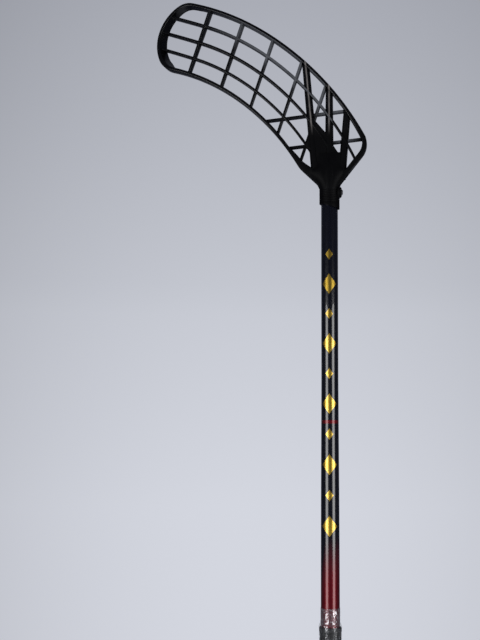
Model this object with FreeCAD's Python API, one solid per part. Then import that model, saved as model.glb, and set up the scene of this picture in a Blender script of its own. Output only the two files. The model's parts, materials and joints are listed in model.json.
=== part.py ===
import FreeCAD, Part
import math
import os

# Floorball stick, in millimetres and degrees.
# The origin is the middle of the butt end's outer face. +Z runs up the shaft to the blade, the toe points to -X,
# the blade's convex face looks to -Y and the toe bends away to +Y.

Vector = FreeCAD.Vector
across = Vector(1, 0, 0)
behind = Vector(0, 1, 0)
upward = Vector(0, 0, 1)
origin = Vector(0, 0, 0)

overrun = 2.0

# Shaft: a tube that is slim and even at the blade end and widens towards the hands
shaft_length = 870.0
shaft_wall = 1.5
shaft_tip_diameter = 20.5
shaft_middle_diameter = 21.8
shaft_grip_diameter = 22.5
shaft_butt_diameter = 24.0
slim_length = 255.0
widening_length = 135.0

# End cap: a hollow plug under a flange
cap_flange_thickness = 3.0
cap_flange_diameter = 28.0
cap_edge_radius = 1.2
cap_plug_length = 20.0
cap_plug_wall = 2.0
cap_clearance = 0.05

# Grip: a wound strip, its finishing band and the film over both
grip_length = 322.0
wrap_thickness = 1.6
wrap_edge_radius = 0.7
wrap_clearance = 0.05
collar_width = 4.5
collar_thickness = 0.35
collar_clearance = 0.05
film_thickness = 0.2
film_clearance = 0.3
film_butt_gap = 4.0
film_overhang = 22.0
film_slope_length = 5.0

# Socket of the blade
socket_depth = 43.0
socket_wall = 2.1
socket_clearance = 0.05
socket_floor = 3.0
socket_nose_length = 22.0
socket_nose_radius = 5.0
mouth_slant = 15.0
ridge_count = 8
ridge_pitch = 2.2
ridge_gap = 0.9
ridge_height = 0.45
ridge_start = 4.0

# Screw through the socket and the shaft's wall, with its boss
screw_diameter = 3.6
screw_length = 12.0
screw_point_length = 2.5
screw_clearance = 0.06
screw_height = 17.5
head_diameter = 6.4
head_height = 1.5
recess_span = 3.6
recess_width = 0.9
recess_depth = 0.9
boss_reach = 15.0
boss_face_diameter = 10.8
boss_slope = 40.0

# Blade outline: two arcs, a rounded toe and two straight runs down to the socket
ground_height = 152.6
ground_radius = 386.0
ground_lie = 39.8
top_radius = 293.5
blade_height = 89.3
narrow_lie = 1.0
rib_slant = 18.5
toe_reach = 237.4
toe_lift = 0.7
toe_bulge = 10.0
toe_corner_radius = 25.0
heel_root = 26.2
heel_slant = 38.3
heel_radius = 22.7
throat_root = 25.2
throat_slant = 45.7
throat_radius = 33.0

# Bend of the blade: flat from the heel, then one even curve to the toe
bend_start = 85.7
bend_radius = 560.0

# Rim and ribs
rim_thickness = 4.0
rim_depth = 13.6
throat_thickness = 16.0
throat_fade_length = 76.0
heel_thickness = 5.8
heel_run_length = 130.0
heel_fade_length = 50.0
toe_wedge = 8.0
toe_wedge_start = 14.0
toe_wedge_length = 24.0
toe_wedge_power = 1.4
long_rib_shares = (0.267, 0.512, 0.748)
long_rib_thicknesses = (2.8, 3.0, 3.0)
long_rib_depths = (10.4, 9.4, 8.4)
cross_rib_shares = (0.0168, 0.179, 0.364, 0.553, 0.754)
cross_rib_thickness = 3.0
cross_rib_ground_depth = 11.0
cross_rib_top_depth = 7.4
level_rib_heights = (117.5, 79.5)
level_rib_slope = 5.2
level_rib_thickness = 2.9
level_rib_depth = 8.0
station_spacing = 9.0

# Hosel: three fingers that rise from a plate above the socket
shoulder_height = 46.0
toe_finger_tip_out = 29.3
toe_finger_root_out = 16.5
toe_finger_tip_width = 8.8
toe_finger_root_width = 10.2
middle_finger_tip_width = 8.8
middle_finger_root_width = 11.0
heel_finger_tip_out = 22.2
heel_finger_root_out = 15.0
heel_finger_tip_width = 8.8
heel_finger_root_width = 9.8
toe_valley_out = 4.8
toe_valley_height = 93.0
toe_gusset_height = 113.0
heel_valley_out = 10.8
heel_valley_height = 67.0
heel_gusset_height = 80.0
knuckle_height = 60.0
knuckle_depth = 14.0
finger_height = 103.0
finger_depth = 10.8
fingertip_height = 188.0
fingertip_depth = 8.8

# Heights and radii that follow
shaft_bottom = cap_flange_thickness
shaft_top = shaft_bottom + shaft_length
grip_top = shaft_bottom + grip_length
slim_bottom = shaft_top - slim_length
widening_bottom = slim_bottom - widening_length
mouth = shaft_top - socket_depth
shaft_tip_radius = shaft_tip_diameter / 2
bore_radius = shaft_tip_radius + socket_clearance
socket_radius = bore_radius + socket_wall
screw_level = mouth + screw_height
screw_hole_radius = screw_diameter / 2 + screw_clearance


def turned(profile):
    """Solid of revolution about the shaft's axis from (radius, height) points."""
    points = [Vector(radius, 0, height) for radius, height in profile]
    face = Part.Face(Part.makePolygon(points + points[:1]))
    return face.revolve(origin, upward, 360)


def is_ring(edge, radius, height):
    """Whether an edge is the circle of that radius at that height."""
    if not isinstance(edge.Curve, Part.Circle):
        return False
    at_height = abs(edge.Curve.Center.z - height) < Part.Precision.confusion()
    return at_height and abs(edge.Curve.Radius - radius) < Part.Precision.confusion()


def shaft_radius(height):
    """Outer radius of the shaft at a height below its slim part."""
    grip_share = (height - shaft_bottom) / (grip_top - shaft_bottom)
    return shaft_butt_diameter / 2 + grip_share * (shaft_grip_diameter - shaft_butt_diameter) / 2


def screw_hole():
    """Clearance hole along the screw, from outside the boss to the shaft's axis."""
    length = boss_reach + overrun
    return Part.makeCylinder(screw_hole_radius, length, Vector(0, 0, screw_level), across)


def make_shaft():
    outer = [
        (shaft_butt_diameter / 2, shaft_bottom),
        (shaft_grip_diameter / 2, grip_top),
        (shaft_middle_diameter / 2, widening_bottom),
        (shaft_tip_radius, slim_bottom),
        (shaft_tip_radius, shaft_top),
    ]
    inner = [(radius - shaft_wall, height) for radius, height in reversed(outer)]
    return turned(outer + inner).cut(screw_hole())


def make_end_cap():
    flange = Part.makeCylinder(cap_flange_diameter / 2, cap_flange_thickness)
    outer_edges = [edge for edge in flange.Edges if is_ring(edge, cap_flange_diameter / 2, 0)]
    flange = flange.makeFillet(cap_edge_radius, outer_edges)
    plug_top = shaft_bottom + cap_plug_length
    plug_radius = shaft_radius(plug_top) - shaft_wall - cap_clearance
    plug = Part.makeCylinder(plug_radius, plug_top)
    hollow = Part.makeCylinder(plug_radius - cap_plug_wall, cap_plug_length + overrun, Vector(0, 0, shaft_bottom))
    return flange.fuse(plug).cut(hollow).removeSplitter()


def wrap_radius(height):
    """Outer radius of the wound grip at a height."""
    return shaft_radius(height) + wrap_clearance + wrap_thickness


def make_grip_wrap():
    sleeve = turned([
        (shaft_radius(shaft_bottom) + wrap_clearance, shaft_bottom),
        (wrap_radius(shaft_bottom), shaft_bottom),
        (wrap_radius(grip_top), grip_top),
        (shaft_radius(grip_top) + wrap_clearance, grip_top),
    ])
    outer_edges = [edge for edge in sleeve.Edges if is_ring(edge, wrap_radius(grip_top), grip_top)]
    return sleeve.makeFillet(wrap_edge_radius, outer_edges)


def collar_radius(height):
    """Outer radius of the finishing band at a height."""
    return wrap_radius(height) + collar_clearance + collar_thickness


def make_grip_collar():
    top = grip_top - wrap_edge_radius
    bottom = top - collar_width
    return turned([
        (wrap_radius(bottom) + collar_clearance, bottom),
        (collar_radius(bottom), bottom),
        (collar_radius(top), top),
        (wrap_radius(top) + collar_clearance, top),
    ])


def make_grip_film():
    bottom = shaft_bottom + film_butt_gap
    band_bottom = grip_top - wrap_edge_radius - collar_width
    grip_end = grip_top + film_clearance
    slope_end = grip_end + film_slope_length
    top = grip_top + film_overhang
    inner = [
        (collar_radius(bottom) + film_clearance, bottom),
        (collar_radius(band_bottom) + film_clearance, band_bottom),
        (collar_radius(grip_end) + film_clearance, grip_end),
        (shaft_grip_diameter / 2 + film_clearance, slope_end),
        (shaft_grip_diameter / 2 + film_clearance, top),
    ]
    outer = [(radius + film_thickness, height) for radius, height in reversed(inner)]
    return turned(inner + outer)


# Blade: places are given as reach towards the toe, rise along the cross ribs and lift towards the convex face

slant = math.radians(rib_slant)
crossing = Vector(0, 0, mouth + ground_height)
toeward = Vector(-math.cos(slant), 0, math.sin(slant))
groundward = Vector(math.sin(slant), 0, math.cos(slant))


def blade_place(reach, rise, lift):
    """Point of the bent blade."""
    turn = max(reach - bend_start, 0) / bend_radius
    flat_reach = min(reach, bend_start) + bend_radius * math.sin(turn)
    sideways = bend_radius * (1 - math.cos(turn)) - lift * math.cos(turn)
    along = flat_reach + lift * math.sin(turn)
    return crossing + toeward * along + groundward * rise + behind * sideways


def layout(x, z):
    """Reach and rise of a place in the blade's flat part."""
    step = Vector(x, 0, z) - crossing
    return (step.dot(toeward), step.dot(groundward))


def polar(radius, angle):
    return Vector(radius * math.cos(math.radians(angle)), 0, radius * math.sin(math.radians(angle)))


ground_centre = crossing - polar(ground_radius, ground_lie)
top_centre = ground_centre + polar(ground_radius - top_radius - blade_height, narrow_lie)
ground_middle = layout(ground_centre.x, ground_centre.z)
top_middle = layout(top_centre.x, top_centre.z)


def arc_stations(middle, radius, start, end):
    """Evenly spaced places on an arc about a reach-and-rise centre, from one angle to another in radians."""
    count = max(2, math.ceil(radius * abs(end - start) / station_spacing))
    angles = [start + (end - start) * step / count for step in range(count + 1)]
    return [(middle[0] + radius * math.cos(angle), middle[1] + radius * math.sin(angle)) for angle in angles]


def line_stations(start, end):
    """Evenly spaced places on a straight run."""
    count = max(1, math.ceil(math.dist(start, end) / station_spacing))
    shares = [step / count for step in range(count + 1)]
    return [(start[0] + share * (end[0] - start[0]), start[1] + share * (end[1] - start[1])) for share in shares]


def angle_from(middle, place):
    return math.atan2(place[1] - middle[1], place[0] - middle[0])


def arc_rise(middle, radius, reach):
    """Rise of an arc's ground side at a reach."""
    return middle[1] + math.sqrt(radius ** 2 - (reach - middle[0]) ** 2)


def meet_arc(middle, radius, start, direction, crossing_side):
    """Place where a straight run crosses an arc: -1 for the first crossing and 1 for the second."""
    offset = (start[0] - middle[0], start[1] - middle[1])
    along = offset[0] * direction[0] + offset[1] * direction[1]
    half_chord = math.sqrt(along ** 2 + radius ** 2 - offset[0] ** 2 - offset[1] ** 2)
    length = crossing_side * half_chord - along
    return (start[0] + length * direction[0], start[1] + length * direction[1])


def round_corner(corner, first, second, radius):
    """Stations of a round corner between the runs that leave a corner in two directions."""
    half_angle = math.acos(first[0] * second[0] + first[1] * second[1]) / 2
    setback = radius / math.tan(half_angle)
    start = (corner[0] + setback * first[0], corner[1] + setback * first[1])
    end = (corner[0] + setback * second[0], corner[1] + setback * second[1])
    inward = (first[0] + second[0], first[1] + second[1])
    depth = radius / math.sin(half_angle) / math.hypot(*inward)
    middle = (corner[0] + depth * inward[0], corner[1] + depth * inward[1])
    start_angle = angle_from(middle, start)
    sweep = (angle_from(middle, end) - start_angle + math.pi) % math.tau - math.pi
    return arc_stations(middle, radius, start_angle, start_angle + sweep)


def between(first, second):
    """Face of straight lines between two curves that share their parameters."""
    surface = Part.BSplineSurface()
    poles = [first.getPoles(), second.getPoles()]
    knots = first.getKnots()
    multiplicities = first.getMultiplicities()
    surface.buildFromPolesMultsKnots(poles, [2, 2], multiplicities, [0, 1], knots, False, False, 1, first.Degree)
    return surface.toShape()


def distances(stations):
    """Distance travelled along a path at each station."""
    travelled = [0.0]
    for first, second in zip(stations, stations[1:]):
        travelled.append(travelled[-1] + math.dist(first, second))
    return travelled


def bar(stations, thicknesses, depths):
    """Solid bar along a path on the blade, square to its surface.

    Each station has a thickness to the right of the path, to the left of it at the convex face and to the left
    of it at the hollow face, and a depth through the blade.
    """
    travelled = distances(stations)
    ring = [(-1, -1), (1, -1), (1, 1), (-1, 1)]
    corners = {key: [] for key in ring}
    for index, (reach, rise) in enumerate(stations):
        before = stations[max(index - 1, 0)]
        after = stations[min(index + 1, len(stations) - 1)]
        run = math.dist(before, after)
        normal = ((before[1] - after[1]) / run, (after[0] - before[0]) / run)
        right, convex_left, hollow_left = thicknesses[index]
        for side, face in ring:
            left = convex_left if face > 0 else hollow_left
            offset = left if side > 0 else -right
            lift = face * depths[index] / 2
            place = blade_place(reach + offset * normal[0], rise + offset * normal[1], lift)
            corners[side, face].append(place)
    curves = []
    for key in ring:
        curve = Part.BSplineCurve()
        curve.interpolate(Points=corners[key], Parameters=travelled)
        curves.append(curve)
    faces = [between(first, second) for first, second in zip(curves, curves[1:] + curves[:1])]
    for end in (0, -1):
        back_edge = Part.makeLine(corners[-1, -1][end], corners[1, -1][end])
        front_edge = Part.makeLine(corners[-1, 1][end], corners[1, 1][end])
        faces.append(Part.makeRuledSurface(back_edge, front_edge))
    shell = Part.Shell(faces)
    shell.sewShape()
    solid = Part.Solid(shell)
    if solid.Volume < 0:
        solid.reverse()
    return solid


def even_bar(stations, thickness, depth):
    """Bar of one thickness and depth."""
    count = len(stations)
    return bar(stations, [(thickness / 2, thickness / 2, thickness / 2)] * count, [depth] * count)


half_rim = rim_thickness / 2
ground_line_radius = ground_radius - half_rim
top_line_radius = top_radius + half_rim

# The toe's arc is a little fuller than the blade's half height at the last cross rib
last_reach = cross_rib_shares[-1] * toe_reach
last_ground_rise = arc_rise(ground_middle, ground_radius, last_reach)
last_top_rise = arc_rise(top_middle, top_radius, last_reach)
toe_radius = (last_ground_rise - last_top_rise) / 2 + toe_bulge
toe_middle = (toe_reach - toe_radius, (last_ground_rise + last_top_rise) / 2 + toe_lift)
toe_line_radius = toe_radius - half_rim
corner_line_radius = toe_corner_radius - half_rim


def run_from_socket(side, root, lean):
    """Start and direction, on the rim's middle line, of the straight run that leaves one side of the socket."""
    angle = math.radians(lean)
    direction = Vector(side * math.sin(angle), 0, math.cos(angle))
    inward = Vector(-side * math.cos(angle), 0, math.sin(angle))
    foot = Vector(side * socket_radius, 0, mouth + root) + inward * half_rim
    start = foot - direction * socket_radius
    return layout(start.x, start.z), (direction.dot(toeward), direction.dot(groundward))


throat_start, throat_direction = run_from_socket(-1, throat_root, throat_slant)
heel_start, heel_direction = run_from_socket(1, heel_root, heel_slant)


def meet_circles(first_middle, first_radius, second_middle, second_radius, side):
    """Meeting place of two circles, to the left (1) or right (-1) of the line from the first to the second."""
    gap = math.dist(first_middle, second_middle)
    along = (gap ** 2 + first_radius ** 2 - second_radius ** 2) / (gap + gap)
    aside = side * math.sqrt(first_radius ** 2 - along ** 2)
    direction = ((second_middle[0] - first_middle[0]) / gap, (second_middle[1] - first_middle[1]) / gap)
    reach = first_middle[0] + along * direction[0] - aside * direction[1]
    rise = first_middle[1] + along * direction[1] + aside * direction[0]
    return (reach, rise)


def toe_growth(place):
    """Extra thickness that the toe's rim has at the hollow face, most towards the top edge."""
    share = min(max((place[0] - last_reach - toe_wedge_start) / toe_wedge_length, 0), 1)
    to_top_share = (1 - (place[1] - toe_middle[1]) / toe_radius) / 2
    return toe_wedge * max(to_top_share, 0) ** toe_wedge_power * share ** 2 * (1 + 2 * (1 - share))


def make_rim():
    throat_corner = meet_arc(top_middle, top_line_radius, throat_start, throat_direction, -1)
    throat_angle = angle_from(top_middle, throat_corner)
    throat_bend = round_corner(
        throat_corner,
        (-throat_direction[0], -throat_direction[1]),
        (math.sin(throat_angle), -math.cos(throat_angle)),
        throat_radius,
    )
    heel_corner = meet_arc(ground_middle, ground_line_radius, heel_start, heel_direction, 1)
    heel_angle = angle_from(ground_middle, heel_corner)
    heel_bend = round_corner(
        heel_corner,
        (math.sin(heel_angle), -math.cos(heel_angle)),
        (-heel_direction[0], -heel_direction[1]),
        heel_radius,
    )
    inner_toe_radius = toe_line_radius - corner_line_radius
    ground_corner = meet_circles(
        ground_middle, ground_line_radius - corner_line_radius, toe_middle, inner_toe_radius, -1
    )
    top_corner = meet_circles(top_middle, top_line_radius + corner_line_radius, toe_middle, inner_toe_radius, -1)
    top_tangent = angle_from(top_middle, top_corner)
    toe_start = angle_from(toe_middle, top_corner)
    toe_end = angle_from(toe_middle, ground_corner)
    ground_tangent = angle_from(ground_middle, ground_corner)
    top_arc_start = angle_from(top_middle, throat_bend[-1])
    ground_arc_end = angle_from(ground_middle, heel_bend[0])
    stretches = [
        line_stations(throat_start, throat_bend[0]),
        throat_bend,
        arc_stations(top_middle, top_line_radius, top_arc_start, top_tangent),
        arc_stations(top_corner, corner_line_radius, top_tangent - math.pi, toe_start),
        arc_stations(toe_middle, toe_line_radius, toe_start, toe_end),
        arc_stations(ground_corner, corner_line_radius, toe_end, ground_tangent),
        arc_stations(ground_middle, ground_line_radius, ground_tangent, ground_arc_end),
        heel_bend,
        line_stations(heel_bend[-1], heel_start),
    ]
    stations = stretches[0][:1]
    for stretch in stretches:
        stations += stretch[1:]
    travelled = distances(stations)
    thicknesses = []
    for place, distance in zip(stations, travelled):
        throat_share = max(1 - distance / throat_fade_length, 0)
        to_heel_end = travelled[-1] - distance
        heel_share = min((heel_run_length - to_heel_end) / heel_fade_length, to_heel_end / heel_root, 1)
        left = half_rim + (throat_thickness - rim_thickness) * throat_share
        left += (heel_thickness - rim_thickness) * max(heel_share, 0)
        thicknesses.append((half_rim, left, left + toe_growth(place)))
    return bar(stations, thicknesses, [rim_depth] * len(stations))


def make_long_ribs():
    """Arcs spread between the ground edge and the top edge, straight past the last cross rib.

    The first one runs through to the heel and the others end in the toe finger.
    """
    ribs = []
    for index, share in enumerate(long_rib_shares):
        radius = ground_radius + share * (top_radius - ground_radius)
        centre = ground_centre + (top_centre - ground_centre) * share
        middle = layout(centre.x, centre.z)
        last_place = (last_reach, arc_rise(middle, radius, last_reach))
        last_angle = angle_from(middle, last_place)
        toe_direction = (math.sin(last_angle), -math.cos(last_angle))
        toe_place = meet_arc(toe_middle, toe_line_radius, last_place, toe_direction, 1)
        if index == 0:
            heel_place = meet_arc(middle, radius, heel_start, heel_direction, 1)
        else:
            root_rise = math.sqrt(radius ** 2 - (toe_finger_root_out + centre.x) ** 2)
            heel_place = layout(-toe_finger_root_out, centre.z + root_rise)
        stations = line_stations(toe_place, last_place)
        stations += arc_stations(middle, radius, last_angle, angle_from(middle, heel_place))[1:]
        ribs.append(even_bar(stations, long_rib_thicknesses[index], long_rib_depths[index]))
    return ribs


def make_cross_ribs():
    """Straight ribs across the blade, deeper at the ground edge."""
    ribs = []
    for share in cross_rib_shares:
        reach = share * toe_reach
        top_end = (reach, arc_rise(top_middle, top_line_radius, reach))
        ground_end = (reach, arc_rise(ground_middle, ground_line_radius, reach))
        stations = line_stations(top_end, ground_end)
        shares = [step / (len(stations) - 1) for step in range(len(stations))]
        gain = cross_rib_ground_depth - cross_rib_top_depth
        depths = [cross_rib_top_depth + share * gain for share in shares]
        half_thickness = cross_rib_thickness / 2
        ribs.append(bar(stations, [(half_thickness, half_thickness, half_thickness)] * len(stations), depths))
    return ribs


def make_level_ribs():
    """Two ribs that run nearly square to the shaft, from rim to rim."""
    slope = math.radians(level_rib_slope)
    to_heel = Vector(math.cos(slope), 0, math.sin(slope))
    heelward = (to_heel.dot(toeward), to_heel.dot(groundward))
    toward_toe = (-heelward[0], -heelward[1])
    ribs = []
    for height in level_rib_heights:
        start = layout(0, mouth + height)
        ground_end = meet_arc(ground_middle, ground_line_radius, start, heelward, 1)
        top_end = meet_arc(top_middle, top_line_radius, start, toward_toe, -1)
        ribs.append(even_bar(line_stations(top_end, ground_end), level_rib_thickness, level_rib_depth))
    return ribs


def plate(points, half_depth):
    """Flat plate from an (x, z) outline, as deep on both sides of the blade's middle."""
    corners = [Vector(x, -half_depth, z) for x, z in points]
    face = Part.Face(Part.makePolygon(corners + corners[:1]))
    return face.extrude(behind * (half_depth + half_depth))


def ground_rim_height(out):
    """Height of the ground rim's middle line at a distance from the shaft's axis."""
    return ground_centre.z + math.sqrt(ground_line_radius ** 2 - (out - ground_centre.x) ** 2)


def finger(tip_out, root_out, tip_width, root_width):
    """Outline of a finger from the shoulder to the ground rim."""
    tip_left = tip_out - tip_width / 2
    tip_right = tip_out + tip_width / 2
    root_height = mouth + shoulder_height
    return [
        (root_out - root_width / 2, root_height),
        (root_out + root_width / 2, root_height),
        (tip_right, ground_rim_height(tip_right)),
        (tip_left, ground_rim_height(tip_left)),
    ]


def knuckle():
    """Corner of the plate that carries the crossing of the first cross rib and the lower level rib."""
    reach = cross_rib_shares[0] * toe_reach
    climb = math.tan(math.radians(level_rib_slope))
    level = mouth + level_rib_heights[-1] - crossing.z
    rise = (level + (toeward.x * climb - toeward.z) * reach) / (groundward.z - groundward.x * climb)
    tip = blade_place(reach, rise, 0)
    return [
        (-toe_finger_root_out, tip.z - toe_finger_root_width),
        (tip.x, tip.z),
        (-toe_finger_root_out, tip.z + toe_finger_root_width + toe_finger_root_width),
    ]


def side_at(run_start, run_direction, height):
    """Distance out from the shaft's axis of a straight run of rim at a height."""
    start = crossing + toeward * run_start[0] + groundward * run_start[1]
    direction = toeward * run_direction[0] + groundward * run_direction[1]
    return start.x + direction.x * (height - start.z) / direction.z


def throat_side(height):
    """Corners of the foot on the throat side: along the straight run, and along the top edge above its corner."""
    corner = blade_place(*meet_arc(top_middle, top_line_radius, throat_start, throat_direction, -1), 0)
    if corner.z > height:
        return [(side_at(throat_start, throat_direction, height), height)]
    out = top_centre.x + math.sqrt(top_line_radius ** 2 - (height - top_centre.z) ** 2)
    return [(out, height), (corner.x, corner.z)]


def make_hosel():
    """Three fingers, the gussets between them and the foot that widens from the socket, thinned towards the tips."""
    shoulder = mouth + shoulder_height
    foot = mouth + min(throat_root, heel_root)
    outlines = [
        finger(-toe_finger_tip_out, -toe_finger_root_out, toe_finger_tip_width, toe_finger_root_width),
        finger(0, 0, middle_finger_tip_width, middle_finger_root_width),
        finger(heel_finger_tip_out, heel_finger_root_out, heel_finger_tip_width, heel_finger_root_width),
        [
            (-toe_finger_root_out, shoulder),
            (0, shoulder),
            (0, mouth + toe_valley_height),
            (-toe_valley_out, mouth + toe_valley_height),
            (-toe_finger_root_out - toe_finger_root_width / 2, mouth + toe_gusset_height),
        ],
        knuckle(),
        [
            (0, shoulder),
            (heel_finger_root_out, shoulder),
            (heel_finger_root_out, mouth + heel_valley_height),
            (heel_valley_out, mouth + heel_valley_height),
            (0, mouth + heel_gusset_height),
        ],
        [
            (-socket_radius, foot),
            (socket_radius, foot),
            (side_at(heel_start, heel_direction, shoulder), shoulder),
        ] + throat_side(shoulder),
    ]
    plates = [plate(outline, socket_radius) for outline in outlines]
    spread = plates[0].multiFuse(plates[1:])
    profile = [
        (socket_radius, foot),
        (knuckle_depth / 2, mouth + knuckle_height),
        (finger_depth / 2, mouth + finger_height),
        (fingertip_depth / 2, mouth + fingertip_height),
    ]
    front = [Vector(-toe_reach, -half, height) for half, height in profile]
    back = [Vector(-toe_reach, half, height) for half, height in reversed(profile)]
    wedge = Part.Face(Part.makePolygon(front + back + front[:1])).extrude(across * (toe_reach + toe_reach))
    return spread.common(wedge).removeSplitter()


def make_socket():
    """Ridged tube with a slanted mouth, a screw boss and a nose that fades into the hosel."""
    slant_drop = socket_radius * math.tan(math.radians(mouth_slant))
    nose_bottom = shaft_top + socket_floor
    body = turned([
        (0, mouth - slant_drop - overrun),
        (socket_radius, mouth - slant_drop - overrun),
        (socket_radius, nose_bottom),
        (socket_nose_radius, nose_bottom + socket_nose_length),
        (0, nose_bottom + socket_nose_length),
    ])
    down = Vector(-math.sin(math.radians(mouth_slant)), 0, -math.cos(math.radians(mouth_slant)))
    below_mouth = Part.makeCylinder(socket_radius + socket_radius, socket_radius + overrun, Vector(0, 0, mouth), down)
    body = body.cut(below_mouth)
    for index in range(ridge_count):
        bottom = mouth + ridge_start + index * ridge_pitch
        body = body.cut(turned([
            (socket_radius - ridge_height, bottom),
            (socket_radius + overrun, bottom),
            (socket_radius + overrun, bottom + ridge_gap),
            (socket_radius - ridge_height, bottom + ridge_gap),
        ]))
    boss_height = boss_reach - bore_radius
    boss_root_radius = boss_face_diameter / 2 + boss_height * math.tan(math.radians(boss_slope))
    boss_foot = Vector(bore_radius, 0, screw_level)
    boss = Part.makeCone(boss_root_radius, boss_face_diameter / 2, boss_height, boss_foot, across)
    return body.fuse(boss)


def make_blade():
    pieces = make_long_ribs() + make_cross_ribs() + make_level_ribs() + [make_hosel(), make_socket()]
    blade = make_rim().multiFuse(pieces)
    bore_bottom = mouth - socket_depth
    bore = Part.makeCylinder(bore_radius, shaft_top - bore_bottom, Vector(0, 0, bore_bottom))
    return blade.cut(bore).cut(screw_hole()).removeSplitter()


def make_blade_screw():
    """Round-headed self-tapping screw with a cross recess."""
    seat = Vector(boss_reach, 0, screw_level)
    head = Part.makeCylinder(head_diameter / 2, head_height, seat, across)
    rim_edges = [edge for edge in head.Edges if edge.BoundBox.XMin > boss_reach]
    head = head.makeFillet(head_height / 2, rim_edges)
    shank_length = screw_length - screw_point_length
    shank = Part.makeCylinder(screw_diameter / 2, shank_length, seat, -across)
    point = Part.makeCone(screw_diameter / 2, 0, screw_point_length, seat - across * shank_length, -across)
    screw = head.fuse(shank).fuse(point)
    recess_bottom = boss_reach + head_height - recess_depth
    for width, height in ((recess_span, recess_width), (recess_width, recess_span)):
        corner = Vector(recess_bottom, -width / 2, screw_level - height / 2)
        screw = screw.cut(Part.makeBox(recess_depth + overrun, width, height, corner))
    return screw.removeSplitter()


def main():
    os.makedirs("parts", exist_ok=True)
    pieces = {
        "shaft": make_shaft(),
        "end_cap": make_end_cap(),
        "grip_wrap": make_grip_wrap(),
        "grip_collar": make_grip_collar(),
        "grip_film": make_grip_film(),
        "blade": make_blade(),
        "blade_screw": make_blade_screw(),
    }
    for name, shape in pieces.items():
        shape.exportStep(f"parts/{name}.step")
        print(name, "solids", len(shape.Solids), "valid", shape.isValid(), "volume", round(shape.Volume))


if __name__ == "__main__":
    main()
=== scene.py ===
import json
import math

import bmesh
import bpy
from bpy.props import FloatProperty, FloatVectorProperty, IntProperty, PointerProperty
from mathutils import Matrix, Vector, noise

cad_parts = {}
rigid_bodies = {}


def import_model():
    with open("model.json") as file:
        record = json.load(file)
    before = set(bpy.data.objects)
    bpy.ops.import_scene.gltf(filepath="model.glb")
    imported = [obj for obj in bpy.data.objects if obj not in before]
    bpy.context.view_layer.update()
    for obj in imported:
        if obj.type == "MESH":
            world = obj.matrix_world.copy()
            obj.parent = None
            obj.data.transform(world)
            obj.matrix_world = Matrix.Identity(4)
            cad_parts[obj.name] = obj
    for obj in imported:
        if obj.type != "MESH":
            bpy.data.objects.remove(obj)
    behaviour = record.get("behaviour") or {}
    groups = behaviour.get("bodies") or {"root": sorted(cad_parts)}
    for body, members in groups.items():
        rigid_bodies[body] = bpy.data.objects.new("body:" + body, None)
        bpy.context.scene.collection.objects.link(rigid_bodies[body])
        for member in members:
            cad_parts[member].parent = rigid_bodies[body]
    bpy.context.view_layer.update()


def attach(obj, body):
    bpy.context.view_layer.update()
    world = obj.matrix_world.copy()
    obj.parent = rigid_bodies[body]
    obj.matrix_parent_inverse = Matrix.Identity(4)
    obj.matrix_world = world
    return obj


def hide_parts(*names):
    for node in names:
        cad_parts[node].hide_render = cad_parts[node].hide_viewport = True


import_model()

bl_info = {
    "name": "Floorball stick",
    "version": (1, 0, 0),
    "blender": (4, 5, 0),
    "location": "3D View > Sidebar > Stick",
    "description": "Builds the visible pieces of a floorball stick around its packed frame",
    "category": "Add Mesh",
}

FULL_TURN = math.tau
QUARTER_TURN = math.pi / 2
AXIS_X = Vector((1, 0, 0))
AXIS_Y = Vector((0, 1, 0))
AXIS_Z = Vector((0, 0, 1))
ORIGIN = Vector((0, 0, 0))
MERGE_DISTANCE = 1e-6
SHARP = math.radians(40)


def length(name, description, default):
    """A size in metres."""
    return FloatProperty(name=name, description=description, default=default, precision=5, unit="LENGTH")


def angle(name, description, degrees):
    """An angle, given here in degrees."""
    return FloatProperty(name=name, description=description, default=math.radians(degrees), subtype="ANGLE")


def share(name, description, default):
    """A part of one."""
    return FloatProperty(name=name, description=description, default=default, min=0, max=1, subtype="FACTOR")


def colour(name, description, default):
    """A linear colour."""
    return FloatVectorProperty(
        name=name, description=description, default=default, min=0, max=1, subtype="COLOR"
    )


class ShaftSettings(bpy.types.PropertyGroup):
    bottom: length("Bottom", "Height of the tube's lower end", 0.003)
    grip_top: length("Grip top", "Height at which the grip ends", 0.325)
    taper_bottom: length("Taper bottom", "Height at which the tube begins to slim down", 0.483)
    slim_bottom: length("Slim bottom", "Height above which the tube is even", 0.618)
    top: length("Top", "Height of the tube's upper end", 0.873)
    butt_radius: length("Butt radius", "Outer radius at the butt end", 0.012)
    grip_radius: length("Grip radius", "Outer radius where the grip ends", 0.01125)
    middle_radius: length("Middle radius", "Outer radius at the taper's foot", 0.0109)
    tip_radius: length("Tip radius", "Outer radius of the slim end", 0.01025)
    wall: length("Wall", "Thickness of the tube", 0.0015)
    black: colour("Black lacquer", "Main colour of the lacquer", (0.0022, 0.0026, 0.006))
    red: colour("Red lacquer", "Colour towards the grip", (0.15, 0.002, 0.007))
    gold: colour("Gold print", "Colour of the lozenges", (0.76, 0.5, 0.07))
    red_full: length("Red below", "Height below which the lacquer is red", 0.37)
    red_none: length("Red above", "Height at which the red has faded out", 0.435)
    ring_height: length("Ring height", "Height of the thin red ring", 0.5665)
    ring_width: length("Ring width", "Width of the thin red ring", 0.004)
    print_bottom: length("Print bottom", "Height at which the row of lozenges starts", 0.4249)
    print_top: length("Print top", "Height at which the row of lozenges ends", 0.7876)
    print_pitch: length("Print pitch", "Distance between lozenges", 0.03627)


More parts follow.
